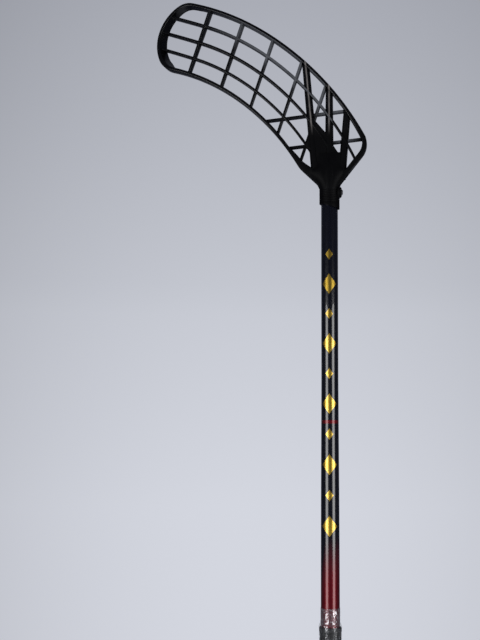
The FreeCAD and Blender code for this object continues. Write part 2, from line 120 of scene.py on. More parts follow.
class BladeSettings(bpy.types.PropertyGroup):
    mouth: length("Mouth", "Height of the socket's mouth", 0.83)
    bore_radius: length("Bore radius", "Inner radius of the socket", 0.0103)
    socket_radius: length("Socket radius", "Outer radius of the socket", 0.0124)
    socket_top: length("Socket top", "Height of the socket's floor", 0.873)
    mouth_slant: angle("Mouth slant", "Slant of the socket's mouth", 15)
    ridge_count: IntProperty(
        name="Ridges", description="Number of grooves round the socket", default=8, min=0
    )
    ridge_pitch: length("Ridge pitch", "Distance between the socket's grooves", 0.0022)
    ridge_depth: length("Ridge depth", "Depth of a groove", 0.00045)
    ridge_start: length("Ridge start", "Height of the first groove above the mouth", 0.004)
    ground_height: length("Ground height", "Height of the ground edge above the mouth at the axis", 0.1526)
    ground_radius: length("Ground radius", "Radius of the ground edge", 0.386)
    ground_lie: angle("Ground lie", "Direction of the ground edge at the axis", 39.8)
    top_radius: length("Top radius", "Radius of the top edge", 0.2935)
    height: length("Height", "Least height of the blade", 0.0893)
    narrow_lie: angle("Narrow lie", "Direction in which the blade is least high", 1)
    rib_slant: angle("Rib slant", "Slant of the cross ribs", 18.5)
    toe_reach: length("Toe reach", "Distance from the axis to the toe along the blade", 0.2374)
    toe_lift: length("Toe lift", "Height of the toe's middle above the blade's middle", 0.0007)
    toe_bulge: length("Toe bulge", "Fullness of the toe", 0.01)
    toe_corner: length("Toe corner", "Radius of the toe's corners", 0.025)
    toe_wedge: length("Toe wedge", "Growth of the toe's rim towards the hollow face", 0.008)
    wedge_start: length("Wedge start", "Distance from the last cross rib to the wedge", 0.014)
    wedge_length: length("Wedge length", "Length over which the wedge grows", 0.024)
    wedge_power: FloatProperty(
        name="Wedge power", description="Speed at which the wedge fades to the ground edge", default=1.4
    )
    heel_root: length("Heel root", "Height above the mouth where the heel leaves the socket", 0.0262)
    heel_slant: angle("Heel slant", "Slant of the heel's run", 38.3)
    heel_radius: length("Heel radius", "Radius of the heel's corner", 0.0227)
    throat_root: length("Throat root", "Height above the mouth where the throat leaves the socket", 0.0252)
    throat_slant: angle("Throat slant", "Slant of the throat's run", 45.7)
    throat_radius: length("Throat radius", "Radius of the throat's corner", 0.033)
    throat_thickness: length("Throat thickness", "Thickness of the rim at the throat", 0.016)
    throat_fade: length("Throat fade", "Length over which the rim thins from the throat", 0.076)
    heel_thickness: length("Heel thickness", "Thickness of the rim at the heel", 0.0058)
    heel_run: length("Heel run", "Length of the thick rim at the heel", 0.13)
    heel_fade: length("Heel fade", "Length over which the rim thins past the heel", 0.05)
    bend_start: length("Bend start", "Reach at which the blade begins to bend", 0.0857)
    bend_radius: length("Bend radius", "Radius of the blade's bend", 0.56)
    rim_thickness: length("Rim thickness", "Thickness of the rim", 0.004)
    rim_depth: length("Rim depth", "Depth of the rim through the blade", 0.0136)
    rim_edge: length("Rim edge", "Radius of the rim's edges", 0.0007)
    rib_edge: length("Rib edge", "Radius of the ribs' edges", 0.0004)
    cross_thickness: length("Cross rib thickness", "Thickness of the cross ribs", 0.003)
    cross_ground_depth: length("Cross rib ground depth", "Depth of the cross ribs at the ground edge", 0.011)
    cross_top_depth: length("Cross rib top depth", "Depth of the cross ribs at the top edge", 0.0074)
    level_slope: angle("Level rib slope", "Slope of the level ribs", 5.2)
    level_thickness: length("Level rib thickness", "Thickness of the level ribs", 0.0029)
    level_depth: length("Level rib depth", "Depth of the level ribs", 0.0084)
    shoulder: length("Shoulder", "Height of the fingers' roots above the mouth", 0.046)
    screw_height: length("Screw height", "Height of the screw above the mouth", 0.0175)
    screw_hole: length("Screw hole", "Radius of the screw's hole", 0.00186)
    boss_reach: length("Boss reach", "Distance from the axis to the boss's face", 0.015)
    boss_radius: length("Boss radius", "Radius of the boss's face", 0.0054)
    boss_slope: angle("Boss slope", "Slope of the boss's side", 40)
    black: colour("Black plastic", "Colour of the blade", (0.002, 0.002, 0.0026))
    light_crest: colour("Light crests", "Colour of the fingers' lighter crests", (0.14, 0.128, 0.123))
    # Painted sheen: a pale blue-grey colour that stands in for light caught by the ribs under the ground edge
    painted_sheen: colour("Painted sheen", "Painted sheen on the ribs under the ground edge", (0.072, 0.077, 0.088))


class ScrewSettings(bpy.types.PropertyGroup):
    radius: length("Shank radius", "Radius of the shank over its thread", 0.0018)
    length: length("Length", "Length under the head", 0.012)
    point: length("Point", "Length of the point", 0.0025)
    pitch: length("Pitch", "Thread pitch", 0.0013)
    thread: length("Thread depth", "Depth of the thread", 0.0004)
    head_radius: length("Head radius", "Radius of the head", 0.0032)
    head_height: length("Head height", "Height of the head", 0.0015)
    recess_span: length("Recess span", "Span of the cross recess", 0.0036)
    recess_width: length("Recess width", "Width of the cross recess", 0.0009)
    recess_depth: length("Recess depth", "Depth of the cross recess", 0.0009)
    steel: colour("Blackened steel", "Colour of the screw", (0.09, 0.09, 0.095))


class GripSettings(bpy.types.PropertyGroup):
    thickness: length("Thickness", "Thickness of the wound strip", 0.0016)
    clearance: length("Clearance", "Gap between the strip and the tube", 0.00005)
    pitch: length("Pitch", "Distance between the strip's turns", 0.0248)
    lap: length("Lap", "Step where a turn laps over the next", 0.0007)
    band_width: length("Band width", "Width of the finishing band", 0.0045)
    band_thickness: length("Band thickness", "Thickness of the finishing band", 0.00035)
    band_drop: length("Band drop", "Distance from the grip's top to the band", 0.0007)
    rubber: colour("Grip strip", "Colour of the wound strip", (0.005, 0.0055, 0.0055))
    band: colour("Band", "Colour of the finishing band", (0.008, 0.008, 0.0085))


class FilmSettings(bpy.types.PropertyGroup):
    bottom: length("Bottom", "Height of the film's lower edge", 0.007)
    overhang: length("Overhang", "Length of film above the grip", 0.022)
    slope: length("Slope", "Length over which the film closes in above the grip", 0.005)
    clearance: length("Clearance", "Gap under the film", 0.0001)
    thickness: length("Thickness", "Thickness of the film", 0.00012)
    crinkle: length("Crinkle", "Height of the film's crinkles", 0.0009)
    crinkle_size: length("Crinkle size", "Distance between the film's crinkles", 0.0055)
    haze: colour("Film", "Colour of the film", (0.85, 0.86, 0.9))


class CapSettings(bpy.types.PropertyGroup):
    flange_radius: length("Flange radius", "Radius of the flange", 0.014)
    flange: length("Flange", "Thickness of the flange", 0.003)
    edge: length("Edge", "Radius of the flange's edge", 0.0012)
    plug_radius: length("Plug radius", "Radius of the plug inside the tube", 0.0104)
    plug_length: length("Plug length", "Length of the plug", 0.02)
    plug_wall: length("Plug wall", "Wall of the plug", 0.002)
    black: colour("Cap plastic", "Colour of the end cap", (0.016, 0.016, 0.017))


class StageSettings(bpy.types.PropertyGroup):
    lens: FloatProperty(
        name="Lens", description="Focal length of the camera", default=59.06, subtype="DISTANCE_CAMERA"
    )
    camera_height: length("Camera height", "Height of the camera", 0.5667)
    camera_distance: length("Camera distance", "Distance to the axis along the camera's heading", 1.273)
    camera_offset: length("Camera offset", "Distance of the axis right of the picture's middle", 0.1093)
    camera_heading: angle("Camera heading", "Turn of the camera about the vertical", 9)
    camera_pitch: angle("Camera pitch", "Upward tilt of the camera", 5.5)
    camera_roll: angle("Camera roll", "Roll of the camera", 0.35)
    light_distance: length("Light distance", "Distance of the soft lights from the axis", 1.5)
    light_width: length("Light width", "Width of a soft light", 0.8)
    light_bottom: length("Light bottom", "Height of the soft lights' lower edge", 0.02)
    light_top: length("Light top", "Height of the soft lights' upper edge", 1.075)
    left_heading: angle("Left light", "Turn of the left light from the front", -37)
    right_heading: angle("Right light", "Turn of the right light from the front", 51)
    light_power: FloatProperty(name="Light power", description="Power of a soft light in watts", default=10)
    floor_radius: length("Floor radius", "Radius of the floor", 1.2)
    floor: colour("Floor", "Colour of the floor", (0.72, 0.74, 0.78))
    backdrop_low: colour("Backdrop low", "Backdrop below the horizon", (0.655, 0.675, 0.742))
    backdrop_middle: colour("Backdrop middle", "Backdrop a little above the horizon", (0.565, 0.584, 0.645))
    backdrop_high: colour("Backdrop high", "Backdrop at the picture's top", (0.4, 0.415, 0.467))
    backdrop_heading: angle("Backdrop heading", "Turn of the backdrop's brightest place", 7.7)
    reflected: share("Reflected backdrop", "Part of the backdrop's brightness that reflections show", 0.2)
    front: colour("Room", "Dim room that reflections show", (0.03, 0.033, 0.05))
    ambient: colour("Ambient", "Soft light from all sides", (0.42, 0.43, 0.46))


# Mesh helpers


def wire(bm, profile):
    """Line through (radius, height) points beside the upright axis."""
    verts = [bm.verts.new((radius, 0, height)) for radius, height in profile]
    return verts + [bm.edges.new(pair) for pair in zip(verts, verts[1:])]


def spin(bm, geom, steps, turns=1, rise=0.0, merge=False):
    """Spins a shape about the upright axis, with an even rise."""
    bmesh.ops.spin(
        bm,
        geom=geom,
        cent=ORIGIN,
        axis=AXIS_Z,
        dvec=AXIS_Z * (rise / steps),
        angle=turns * FULL_TURN,
        steps=steps,
        use_merge=merge,
    )


def turned(bm, profile, steps=96):
    """Turns a line of (radius, height) points into a round shape."""
    spin(bm, wire(bm, profile), steps, merge=True)
    bmesh.ops.remove_doubles(bm, verts=bm.verts, dist=MERGE_DISTANCE)


def verts_in(geom):
    """Vertices among what an operator returns."""
    return [item for item in geom if isinstance(item, bmesh.types.BMVert)]


def moved(bm, matrix, verts=None):
    """Moves all vertices or the given ones by a matrix."""
    bmesh.ops.transform(bm, matrix=matrix, verts=verts or bm.verts, space=Matrix.Identity(4))


def face_outwards(bm):
    bmesh.ops.recalc_face_normals(bm, faces=bm.faces)


def cut_off(bm, point, way, tolerance):
    """Cuts off what lies past a plane."""
    everything = bm.verts[:] + bm.edges[:] + bm.faces[:]
    bmesh.ops.bisect_plane(
        bm, geom=everything, dist=tolerance, plane_co=point, plane_no=way, clear_outer=True
    )


def from_axes(right, up, ahead, place):
    """Matrix from its three axes and its place."""
    return Matrix([[*row] for row in zip(right, up, ahead, place)] + [[0, 0, 0, 1]])


def upright_way(turn):
    """Direction in the upright plane of the shaft and the toe, from the heel's side upwards."""
    return Vector((math.cos(turn), 0, math.sin(turn)))


def outward_at(point):
    """Direction from the upright axis to a point, and its distance."""
    across = Vector((point.x, point.y, 0))
    return across.normalized(), across.length


def round_edges(bm, radius, segments, test):
    """Rounds the edges that a test picks."""
    edges = [edge for edge in bm.edges if edge.is_manifold and test(edge)]
    bmesh.ops.bevel(
        bm,
        geom=edges,
        offset=radius,
        offset_type="OFFSET",
        segments=segments,
        profile=0.5,
        affect="EDGES",
        material=-1,
        clamp_overlap=True,
    )


def is_sharp(edge, least=SHARP):
    return edge.calc_face_angle(0) > least


# Sections of bars, across their thickness and depth
DRAFTED = ((-0.47, -0.5), (0.47, -0.5), (0.5, 0), (0.47, 0.5), (-0.47, 0.5), (-0.5, 0))
WEDGE = ((-0.5, -0.5), (0.5, -0.5), (0.5, -0.4), (-0.2, 0.5), (-0.5, 0.5))
CRESTED = (
    (-0.25, -0.5), (0.25, -0.5), (0.5, -0.16), (0.5, 0.16), (0.25, 0.5), (-0.25, 0.5), (-0.5, 0.16),
    (-0.5, -0.16),
)


def extrude_along(bm, start, frames):
    """Extrudes a face at the first frame through the others into a closed bar."""
    face = start
    for before, after in zip(frames, frames[1:]):
        grown = bmesh.ops.extrude_face_region(bm, geom=[face])["geom"]
        if face is not start:
            bmesh.ops.delete(bm, geom=[face], context="FACES_ONLY")
        face = next(item for item in grown if isinstance(item, bmesh.types.BMFace))
        moved(bm, after @ before.inverted(), verts_in(grown))
    face_outwards(bm)


def sweep(frames, section):
    """Closed bar with one section throughout, scaled by its frames."""
    bm = bmesh.new()
    start = bm.faces.new([bm.verts.new(frames[0] @ Vector((x, y, 0))) for x, y in section])
    extrude_along(bm, start, frames)
    return bm


def to_object(name, bm):
    """Object at the origin from a bmesh, which is freed."""
    face_outwards(bm)
    mesh = bpy.data.meshes.new(name)
    bm.to_mesh(mesh)
    bm.free()
    made = bpy.data.objects.new(name, mesh)
    bpy.context.scene.collection.objects.link(made)
    return made


def fused(name, solids, holes):
    """One closed skin around several solids, with holes cut out."""
    group = bpy.data.collections.new(name + "_solids")
    cutters = bpy.data.collections.new(name + "_holes")
    base = to_object(name, solids[0])
    for collection, shapes in ((group, solids[1:]), (cutters, holes)):
        for shape in shapes:
            made = to_object(name + "_step", shape)
            bpy.context.scene.collection.objects.unlink(made)
            collection.objects.link(made)
    for collection, operation in ((group, "UNION"), (cutters, "DIFFERENCE")):
        step = base.modifiers.new(operation, "BOOLEAN")
        step.operation = operation
        step.solver = "EXACT"
        step.operand_type = "COLLECTION"
        step.collection = collection
    view = bpy.context.evaluated_depsgraph_get()
    mesh = bpy.data.meshes.new_from_object(base.evaluated_get(view))
    base.modifiers.clear()
    base.data = mesh
    for collection in (group, cutters):
        for made in list(collection.objects):
            bpy.data.objects.remove(made)
        bpy.data.collections.remove(collection)
    return base


def finish_piece(piece, material, body, node, crease=35):
    """Gives a piece its shading and finish, and sets it on its body in place of its solid."""
    piece.data.materials.clear()
    piece.data.materials.append(material)
    piece.data.shade_smooth()
    piece.data.set_sharp_from_angle(angle=math.radians(crease))
    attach(piece, body)
    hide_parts(node)


# Material helpers


class Field:
    """A number that varies over a surface: a node's output, whose sums add further nodes."""

    def __init__(self, tree, socket):
        self.tree = tree
        self.socket = socket

    def math(self, operation, *others):
        return math_node(self.tree, operation, self, *others)

    def __add__(self, other):
        return self.math("ADD", other)

    def __sub__(self, other):
        return self.math("SUBTRACT", other)

    def __rsub__(self, other):
        return math_node(self.tree, "SUBTRACT", other, self)

    def __mul__(self, other):
        return self.math("MULTIPLY", other)

    def __truediv__(self, other):
        return self.math("DIVIDE", other)

    def __lt__(self, other):
        return self.math("LESS_THAN", other)

    def __gt__(self, other):
        return self.math("GREATER_THAN", other)

    def __abs__(self):
        return self.math("ABSOLUTE")

    def at_least(self, other):
        return self.math("MAXIMUM", other)

    def at_most(self, other):
        return self.math("MINIMUM", other)

    def fraction(self):
        return self.math("FRACT")


def connect(tree, value, socket):
    """Feeds a socket from a field, from another socket or with a plain value."""
    if isinstance(value, Field):
        value = value.socket
    if isinstance(value, bpy.types.NodeSocket):
        tree.links.new(value, socket)
    else:
        socket.default_value = value


def new_material(name):
    material = bpy.data.materials.new(name)
    material.use_nodes = True
    return material, material.node_tree, material.node_tree.nodes["Principled BSDF"]


def add(tree, kind, inputs=None, **settings):
    """New node; each input is a value or what feeds it."""
    made = tree.nodes.new(kind)
    for name, value in settings.items():
        setattr(made, name, value)
    for name, value in (inputs or {}).items():
        connect(tree, value, made.inputs[name])
    return made


def object_place(tree):
    return add(tree, "ShaderNodeTexCoord").outputs["Object"]


def split(tree, vector):
    parts = add(tree, "ShaderNodeSeparateXYZ", {"Vector": vector})
    return [Field(tree, parts.outputs[axis]) for axis in "XYZ"]


def math_node(tree, operation, *values):
    made = add(tree, "ShaderNodeMath", dict(enumerate(values)), operation=operation)
    return Field(tree, made.outputs[0])


def diagonal(first, second):
    """Length of the diagonal over two sides."""
    return (first * first + second * second).math("SQRT")


def ramp(tree, value, start, end, low=0.0, high=1.0, interpolation="SMOOTHSTEP"):
    """Smooth change of a value from low at start to high at end."""
    inputs = {"Value": value, "From Min": start, "From Max": end, "To Min": low, "To Max": high}
    made = add(tree, "ShaderNodeMapRange", inputs, interpolation_type=interpolation)
    return Field(tree, made.outputs["Result"])


def mix_colour(tree, factor, first, second):
    return add(tree, "ShaderNodeMix", {0: factor, 6: first, 7: second}, data_type="RGBA").outputs[2]


def mix_value(tree, factor, first, second):
    made = add(tree, "ShaderNodeMix", {0: factor, 2: first, 3: second}, data_type="FLOAT")
    return Field(tree, made.outputs[0])


def noise_value(tree, place, scale, detail=4.0, roughness=0.55):
    inputs = {"Vector": place, "Scale": scale, "Detail": detail, "Roughness": roughness}
    return Field(tree, add(tree, "ShaderNodeTexNoise", inputs).outputs["Fac"])


def stretched(tree, place, scale):
    """Coordinates stretched along the axes."""
    return add(tree, "ShaderNodeMapping", {"Vector": place, "Scale": scale}).outputs["Vector"]


def bump(tree, height, strength, distance):
    inputs = {"Height": height, "Strength": strength, "Distance": distance}
    return add(tree, "ShaderNodeBump", inputs).outputs["Normal"]


def opaque(values, strength=1.0):
    """Colour with its alpha, dimmed or brightened."""
    return (*(strength * value for value in values), 1.0)


def mottled(tree, pattern, base, low, high):
    """A colour that wanders between two strengths with a pattern."""
    return mix_colour(tree, pattern, opaque(base, low), opaque(base, high))


def feed(tree, shader, **sockets):
    """Links or sets sockets of a shader by name, with underscores for spaces."""
    for name, value in sockets.items():
        connect(tree, value, shader.inputs[name.replace("_", " ")])


def lacquer(shaft):
    """Glossy black lacquer that turns red towards the grip, with a red ring and gold lozenges."""
    material, tree, shader = new_material("shaft_lacquer")
    place = object_place(tree)
    x, y, z = split(tree, place)

    # Painted shade: the red is held lower on the left side, leaving black lacquer where that side lies in shade.
    shade_side, shade_drop = -0.0045, 6.0
    shade_lag = (shade_side - x).at_least(0.0) * shade_drop
    faded = ramp(tree, z + shade_lag, shaft.red_none, shaft.red_full)
    red = faded.at_least(abs(z - shaft.ring_height) < shaft.ring_width / 2)

    # Lozenges on the front and the back, each second one small.
    lozenge_height, lozenge_width, small_lozenge = 2.9, 1.25, 0.55
    count = (z - shaft.print_bottom) / shaft.print_pitch
    upward = abs(count.fraction() - 0.5)
    across = abs(x) / diagonal(x, y)
    from_middle = upward * lozenge_height + across * lozenge_width
    second = (count / 2.0).fraction() > 0.5
    gold = from_middle < mix_value(tree, second, 1.0, small_lozenge)
    gold = gold * (z > shaft.print_bottom) * (z < shaft.print_top)

    cloud = noise_value(tree, stretched(tree, place, (1, 1, 0.15)), scale=260)
    coloured = mottled(tree, cloud, shaft.black, 0.7, 1.3)
    coloured = mix_colour(tree, red, coloured, opaque(shaft.red))
    coloured = mix_colour(tree, gold, coloured, opaque(shaft.gold))
    red_metal = 0.8
    metallic = (red * red_metal).at_least(gold)
    black_rough, red_rough, gold_rough = 0.22, 0.4, 0.34
    rough = mix_value(tree, gold, mix_value(tree, red, black_rough, red_rough), gold_rough)
    scratches = noise_value(tree, stretched(tree, place, (1, 1, 0.03)), scale=900, detail=2)
    rough = rough + ramp(tree, scratches, 0.35, 0.8, low=-0.02, high=0.06)
    orange_peel = noise_value(tree, place, scale=700, detail=2)
    feed(
        tree, shader, Base_Color=coloured, Metallic=metallic, Roughness=rough,
        Coat_Weight=1.0, Coat_Roughness=0.03, Normal=bump(tree, orange_peel, strength=0.02, distance=0.0001),
    )
    return material


def blade_plastic(blade):
    """Black moulded plastic with lighter finger crests, painted sheen on the ribs near the ground edge and a
    matte hosel.
    """
    material, tree, shader = new_material("blade_plastic")
    layout = BladeLayout(blade)
    place = object_place(tree)
    x, y, z = split(tree, place)
    cloud = noise_value(tree, place, scale=90, detail=5)
    grain = noise_value(tree, place, scale=2600, detail=2)
    scratches = noise_value(tree, stretched(tree, place, (1, 0.4, 0.12)), scale=700, detail=3)

    # Lighter colour on the front crests of the toe's finger and the middle finger, most of it near the tips.
    crest_edge, crest_core, crest_last, finger_share = 0.0013, 0.0004, 0.01, 0.55
    crest_start, crest_full = blade.mouth + 0.088, blade.mouth + 0.11
    crest, beside = 0.0, 1.0
    for tip_out, root_out, tip_width, _ in layout.fingers:
        tip_height = layout.ground_height_at(tip_out)
        lean = (tip_out - root_out) / (tip_height - blade.mouth - blade.shoulder)
        line = z.math("MULTIPLY_ADD", lean, tip_out - lean * tip_height)
        gap = abs(x - line)
        crest = ramp(tree, gap, crest_edge, crest_core).at_least(crest)
        beside = (gap > finger_share * tip_width) * beside
    crest = crest * ramp(tree, z, crest_start, crest_full) * (x < crest_last) * (y < 0.0)
    crest = crest * ramp(tree, scratches, 0.3, 0.55, low=0.5, high=1.0)

    # Painted sheen on the first long rib and on what lies between it and the ground rim, fading to the toe and
    # the heel.
    from_rib, to_rib, half_rib = 0.016, 0.002, 0.0009
    toe_plain, toe_sheen, heel_sheen, heel_plain = -0.17, -0.085, 0.02, 0.04
    front_last, front_face, rim_share = 0.004, -0.0048, 0.8
    radius = diagonal(x - layout.ground_centre.x, z - layout.ground_centre.z)
    first_rib = blade.ground_radius + layout.long_shares[0] * (blade.top_radius - blade.ground_radius)
    on_rib = radius.math("COMPARE", first_rib, half_rib)
    under_rim = radius < blade.ground_radius - rim_share * blade.rim_thickness
    painted_sheen = ramp(tree, radius, first_rib - from_rib, first_rib - to_rib) * under_rim * on_rib.at_least(beside)
    painted_sheen = painted_sheen * ramp(tree, x, toe_plain, toe_sheen) * (x < front_last).at_least(y > front_face)
    painted_sheen = painted_sheen * ramp(tree, x, heel_plain, heel_sheen) * ramp(tree, cloud, 0.3, 0.6, low=0.6, high=1.0)

    coloured = mix_colour(tree, crest, opaque(blade.black), opaque(blade.light_crest))
    # The painted sheen is laid over the colour here.
    coloured = mix_colour(tree, painted_sheen, coloured, opaque(blade.painted_sheen))
    gloss_from, matte_below = blade.mouth + 0.115, blade.mouth + 0.085
    marked_rough, matte_rough, gloss_level, matte_level = 0.32, 0.5, 0.5, 0.08
    # Rougher where the crests are lighter and where the sheen is painted.
    marked = crest.at_least(painted_sheen)
    rough = ramp(tree, cloud, 0.3, 0.7, low=0.2, high=0.28) + marked * marked_rough
    matte = ramp(tree, z, gloss_from, matte_below)
    feed(
        tree, shader, Base_Color=coloured, Roughness=mix_value(tree, matte, rough, matte_rough),
        Specular_IOR_Level=mix_value(tree, matte, gloss_level, matte_level),
        Normal=bump(tree, grain, strength=0.05, distance=0.0001),
    )
    return material


def screw_steel(screw):
    """Blackened steel with worn, turned marks."""
    material, tree, shader = new_material("screw_steel")
    place = object_place(tree)
    marks = noise_value(tree, stretched(tree, place, (0.2, 1, 1)), scale=2200, detail=3)
    marked = ramp(tree, noise_value(tree, place, scale=900), 0.5, 0.7)
    feed(
        tree, shader, Base_Color=mottled(tree, marked, screw.steel, 1, 3), Metallic=1.0,
        Roughness=ramp(tree, marks, 0.3, 0.7, low=0.28, high=0.45),
        Normal=bump(tree, marks, strength=0.15, distance=0.0001),
    )
    return material


def grip_strip(grip):
    """Foamed strip with a pebbled face."""
    material, tree, shader = new_material("grip_strip")
    place = object_place(tree)
    pebbles = add(tree, "ShaderNodeTexVoronoi", {"Vector": place, "Scale": 1500.0}).outputs["Distance"]
    cloud = noise_value(tree, place, scale=120)
    feed(
        tree, shader, Base_Color=mottled(tree, cloud, grip.rubber, 0.7, 1.5),
        Roughness=ramp(tree, cloud, 0.3, 0.7, low=0.5, high=0.66),
        Normal=bump(tree, pebbles, strength=0.4, distance=0.0003),
    )
    return material


def band_rubber(grip):
    """Black elastic band with fine lengthwise lines."""
    material, tree, shader = new_material("band_rubber")
    place = object_place(tree)
    lines = noise_value(tree, stretched(tree, place, (0.1, 0.1, 1)), scale=3000, detail=2)
    feed(
        tree, shader, Base_Color=mottled(tree, lines, grip.band, 1, 2.5),
        Roughness=ramp(tree, lines, 0.3, 0.7, low=0.4, high=0.6),
        Normal=bump(tree, lines, strength=0.3, distance=0.0002),
    )
    return material


def clear_film(film, grip_top):
    """Clear film: mostly see-through, with sharp glints and hazy creases, most of them above the grip."""
    material, tree, shader = new_material("clear_film")
    place = object_place(tree)
    z = split(tree, place)[2]
    crease = noise_value(tree, stretched(tree, place, (1, 1, 0.4)), scale=420, detail=4, roughness=0.6)
    haze = ramp(tree, crease, 0.45, 0.7, low=0.015, high=0.1)
    haze_rise, edge_haze = 0.003, 0.1
    haze = haze + ramp(tree, z, grip_top, grip_top + haze_rise, high=0.11)
    edge = Field(tree, add(tree, "ShaderNodeLayerWeight", {"Blend": 0.2}).outputs["Fresnel"])
    seen = (haze + edge * edge_haze).at_most(1.0)
    feed(
        tree, shader, Base_Color=opaque(film.haze), Metallic=0.8, Roughness=0.14,
        Normal=bump(tree, crease, strength=0.2, distance=0.0005),
    )
    through = add(tree, "ShaderNodeBsdfTransparent")
    surface = add(tree, "ShaderNodeMixShader", {0: seen, 1: through.outputs[0], 2: shader.outputs[0]})
    connect(tree, surface.outputs[0], tree.nodes["Material Output"].inputs["Surface"])
    return material


def cap_plastic(cap):
    """Matte black plastic with a fine spark-eroded grain."""
    material, tree, shader = new_material("cap_plastic")
    place = object_place(tree)
    grain = noise_value(tree, place, scale=2200, detail=3)
    cloud = noise_value(tree, place, scale=200)
    feed(
        tree, shader, Base_Color=mottled(tree, cloud, cap.black, 0.8, 1.4),
        Roughness=ramp(tree, cloud, 0.3, 0.7, low=0.5, high=0.62),
        Normal=bump(tree, grain, strength=0.3, distance=0.0002),
    )
    return material


# Blade layout


class BladeLayout:
    """Places on the bent blade: reach towards the toe, rise to the ground edge and lift to the convex face."""

    # Distance between the stations of a bar.
    spacing = 0.0035
    # Long ribs: place between the ground edge and the top edge, sizes, and how far from the axis two of them end.
    long_shares = (0.267, 0.512, 0.748)
    long_thicknesses = (0.0028, 0.003, 0.003)
    long_toe_depths = (0.0092, 0.0086, 0.008)
    long_heel_depths = (0.0114, 0.0116, 0.009)
    long_ends = (None, 0.001, -0.0165)
    # Cross ribs: part of the toe's reach.
    cross_shares = (0.0168, 0.179, 0.364, 0.553, 0.754)
    # Level ribs: height above the mouth at the axis.
    level_heights = (0.1175, 0.0795)
    # Fingers: distance from the axis at the tip and at the root, width at the tip and at the root.
    fingers = (
        (-0.0293, -0.0165, 0.0088, 0.0102),
        (0.0, 0.0, 0.0088, 0.011),
        (0.0222, 0.015, 0.0088, 0.0098),
    )

    def __init__(self, blade):
        self.blade = blade
        slant = blade.rib_slant
        self.crossing = Vector((0, 0, blade.mouth + blade.ground_height))
        self.toeward = Vector((-math.cos(slant), 0, math.sin(slant)))
        self.groundward = Vector((math.sin(slant), 0, math.cos(slant)))
        half_rim = blade.rim_thickness / 2
        spare = blade.ground_radius - blade.top_radius - blade.height
        self.ground_centre = self.crossing - upright_way(blade.ground_lie) * blade.ground_radius
        self.top_centre = self.ground_centre + upright_way(blade.narrow_lie) * spare
        self.ground_middle = self.flat(self.ground_centre)
        self.top_middle = self.flat(self.top_centre)
        self.ground_line = blade.ground_radius - half_rim
        self.top_line = blade.top_radius + half_rim
        self.last_reach = self.cross_shares[-1] * blade.toe_reach
        ground_rise = arc_rise(self.ground_middle, blade.ground_radius, self.last_reach)
        top_rise = arc_rise(self.top_middle, blade.top_radius, self.last_reach)
        toe_radius = (ground_rise - top_rise) / 2 + blade.toe_bulge
        self.toe_middle = Vector((blade.toe_reach - toe_radius, (ground_rise + top_rise) / 2 + blade.toe_lift))
        self.toe_line = toe_radius - half_rim
        self.corner_line = blade.toe_corner - half_rim
        self.throat_start, self.throat_way = self.run_from_socket(-1, blade.throat_root, blade.throat_slant)
        self.heel_start, self.heel_way = self.run_from_socket(1, blade.heel_root, blade.heel_slant)

    def flat_way(self, way):
        """Reach and rise of a direction or a step."""
        return Vector((way.dot(self.toeward), way.dot(self.groundward)))

    def flat(self, point):
        """Reach and rise of a point."""
        return self.flat_way(point - self.crossing)

    def ground_height_at(self, x):
        """Height of the ground rim's middle line."""
        return self.ground_centre.z + math.sqrt(self.ground_line ** 2 - (x - self.ground_centre.x) ** 2)

    def upright(self, x, height):
        """Reach and rise of a place given by its distance from the axis and its height above the mouth."""
        return self.flat(Vector((x, 0, self.blade.mouth + height)))

    def run_from_socket(self, side, root, lean):
        """Start and direction of a straight run of the rim: -1 for the toe's side and 1 for the heel's."""
        way = Vector((side * math.sin(lean), 0, math.cos(lean)))
        inward = Vector((-side * math.cos(lean), 0, math.sin(lean)))
        socket = self.blade.socket_radius
        skin = Vector((side * socket, 0, self.blade.mouth + root))
        start = skin + inward * (self.blade.rim_thickness / 2) - way * socket
        return self.flat(start), self.flat_way(way)

    def frame(self, place, way, right, left, depth):
        """Frame of a bar's section: its thickness, its depth and its run."""
        reach, rise = place
        turn = max(reach - self.blade.bend_start, 0) / self.blade.bend_radius
        outward = self.toeward * math.cos(turn) + AXIS_Y * math.sin(turn)
        front = self.toeward * math.sin(turn) - AXIS_Y * math.cos(turn)
        run = outward * way.x + self.groundward * way.y
        side = self.groundward * way.x - outward * way.y
        bent = min(reach, self.blade.bend_start) + self.blade.bend_radius * math.sin(turn)
        sideways = self.blade.bend_radius * (1 - math.cos(turn))
        point = self.crossing + self.toeward * bent + self.groundward * rise + AXIS_Y * sideways
        point += side * (left - right) / 2
        return from_axes(side * (left + right), front * depth, run, point)

    def frames(self, stations, thicknesses, depths):
        """Frames along a bar, with its thickness to the right and left of its line at each station."""
        made = []
        for index, place in enumerate(stations):
            before = stations[max(index - 1, 0)]
            after = stations[min(index + 1, len(stations) - 1)]
            way = (after - before).normalized()
            right, left = thicknesses[index]
            made.append(self.frame(place, way, right, left, depths[index]))
        return made

    def even_frames(self, stations, thickness, first_depth, last_depth):
        """Frames along a bar of one thickness whose depth changes evenly."""
        half = thickness / 2
        count = len(stations)
        return self.frames(stations, [(half, half)] * count, spread(first_depth, last_depth, count))

    def arc(self, middle, radius, start, end):
        count = max(2, math.ceil(radius * abs(end - start) / self.spacing))
        angles = [start + (end - start) * step / count for step in range(count + 1)]
        return [middle + Vector((math.cos(turn), math.sin(turn))) * radius for turn in angles]

    def line(self, start, end):
        count = max(1, math.ceil((end - start).length / self.spacing))
        return [start.lerp(end, step / count) for step in range(count + 1)]

    def corner(self, corner, first, second, radius):
        """Round corner between the runs that leave a corner in two directions."""
        half = first.angle(second) / 2
        start = corner + first * (radius / math.tan(half))
        end = corner + second * (radius / math.tan(half))
        middle = corner + (first + second).normalized() * (radius / math.sin(half))
        begin = angle_from(middle, start)
        swing = (angle_from(middle, end) - begin + math.pi) % FULL_TURN - math.pi
        return self.arc(middle, radius, begin, begin + swing)

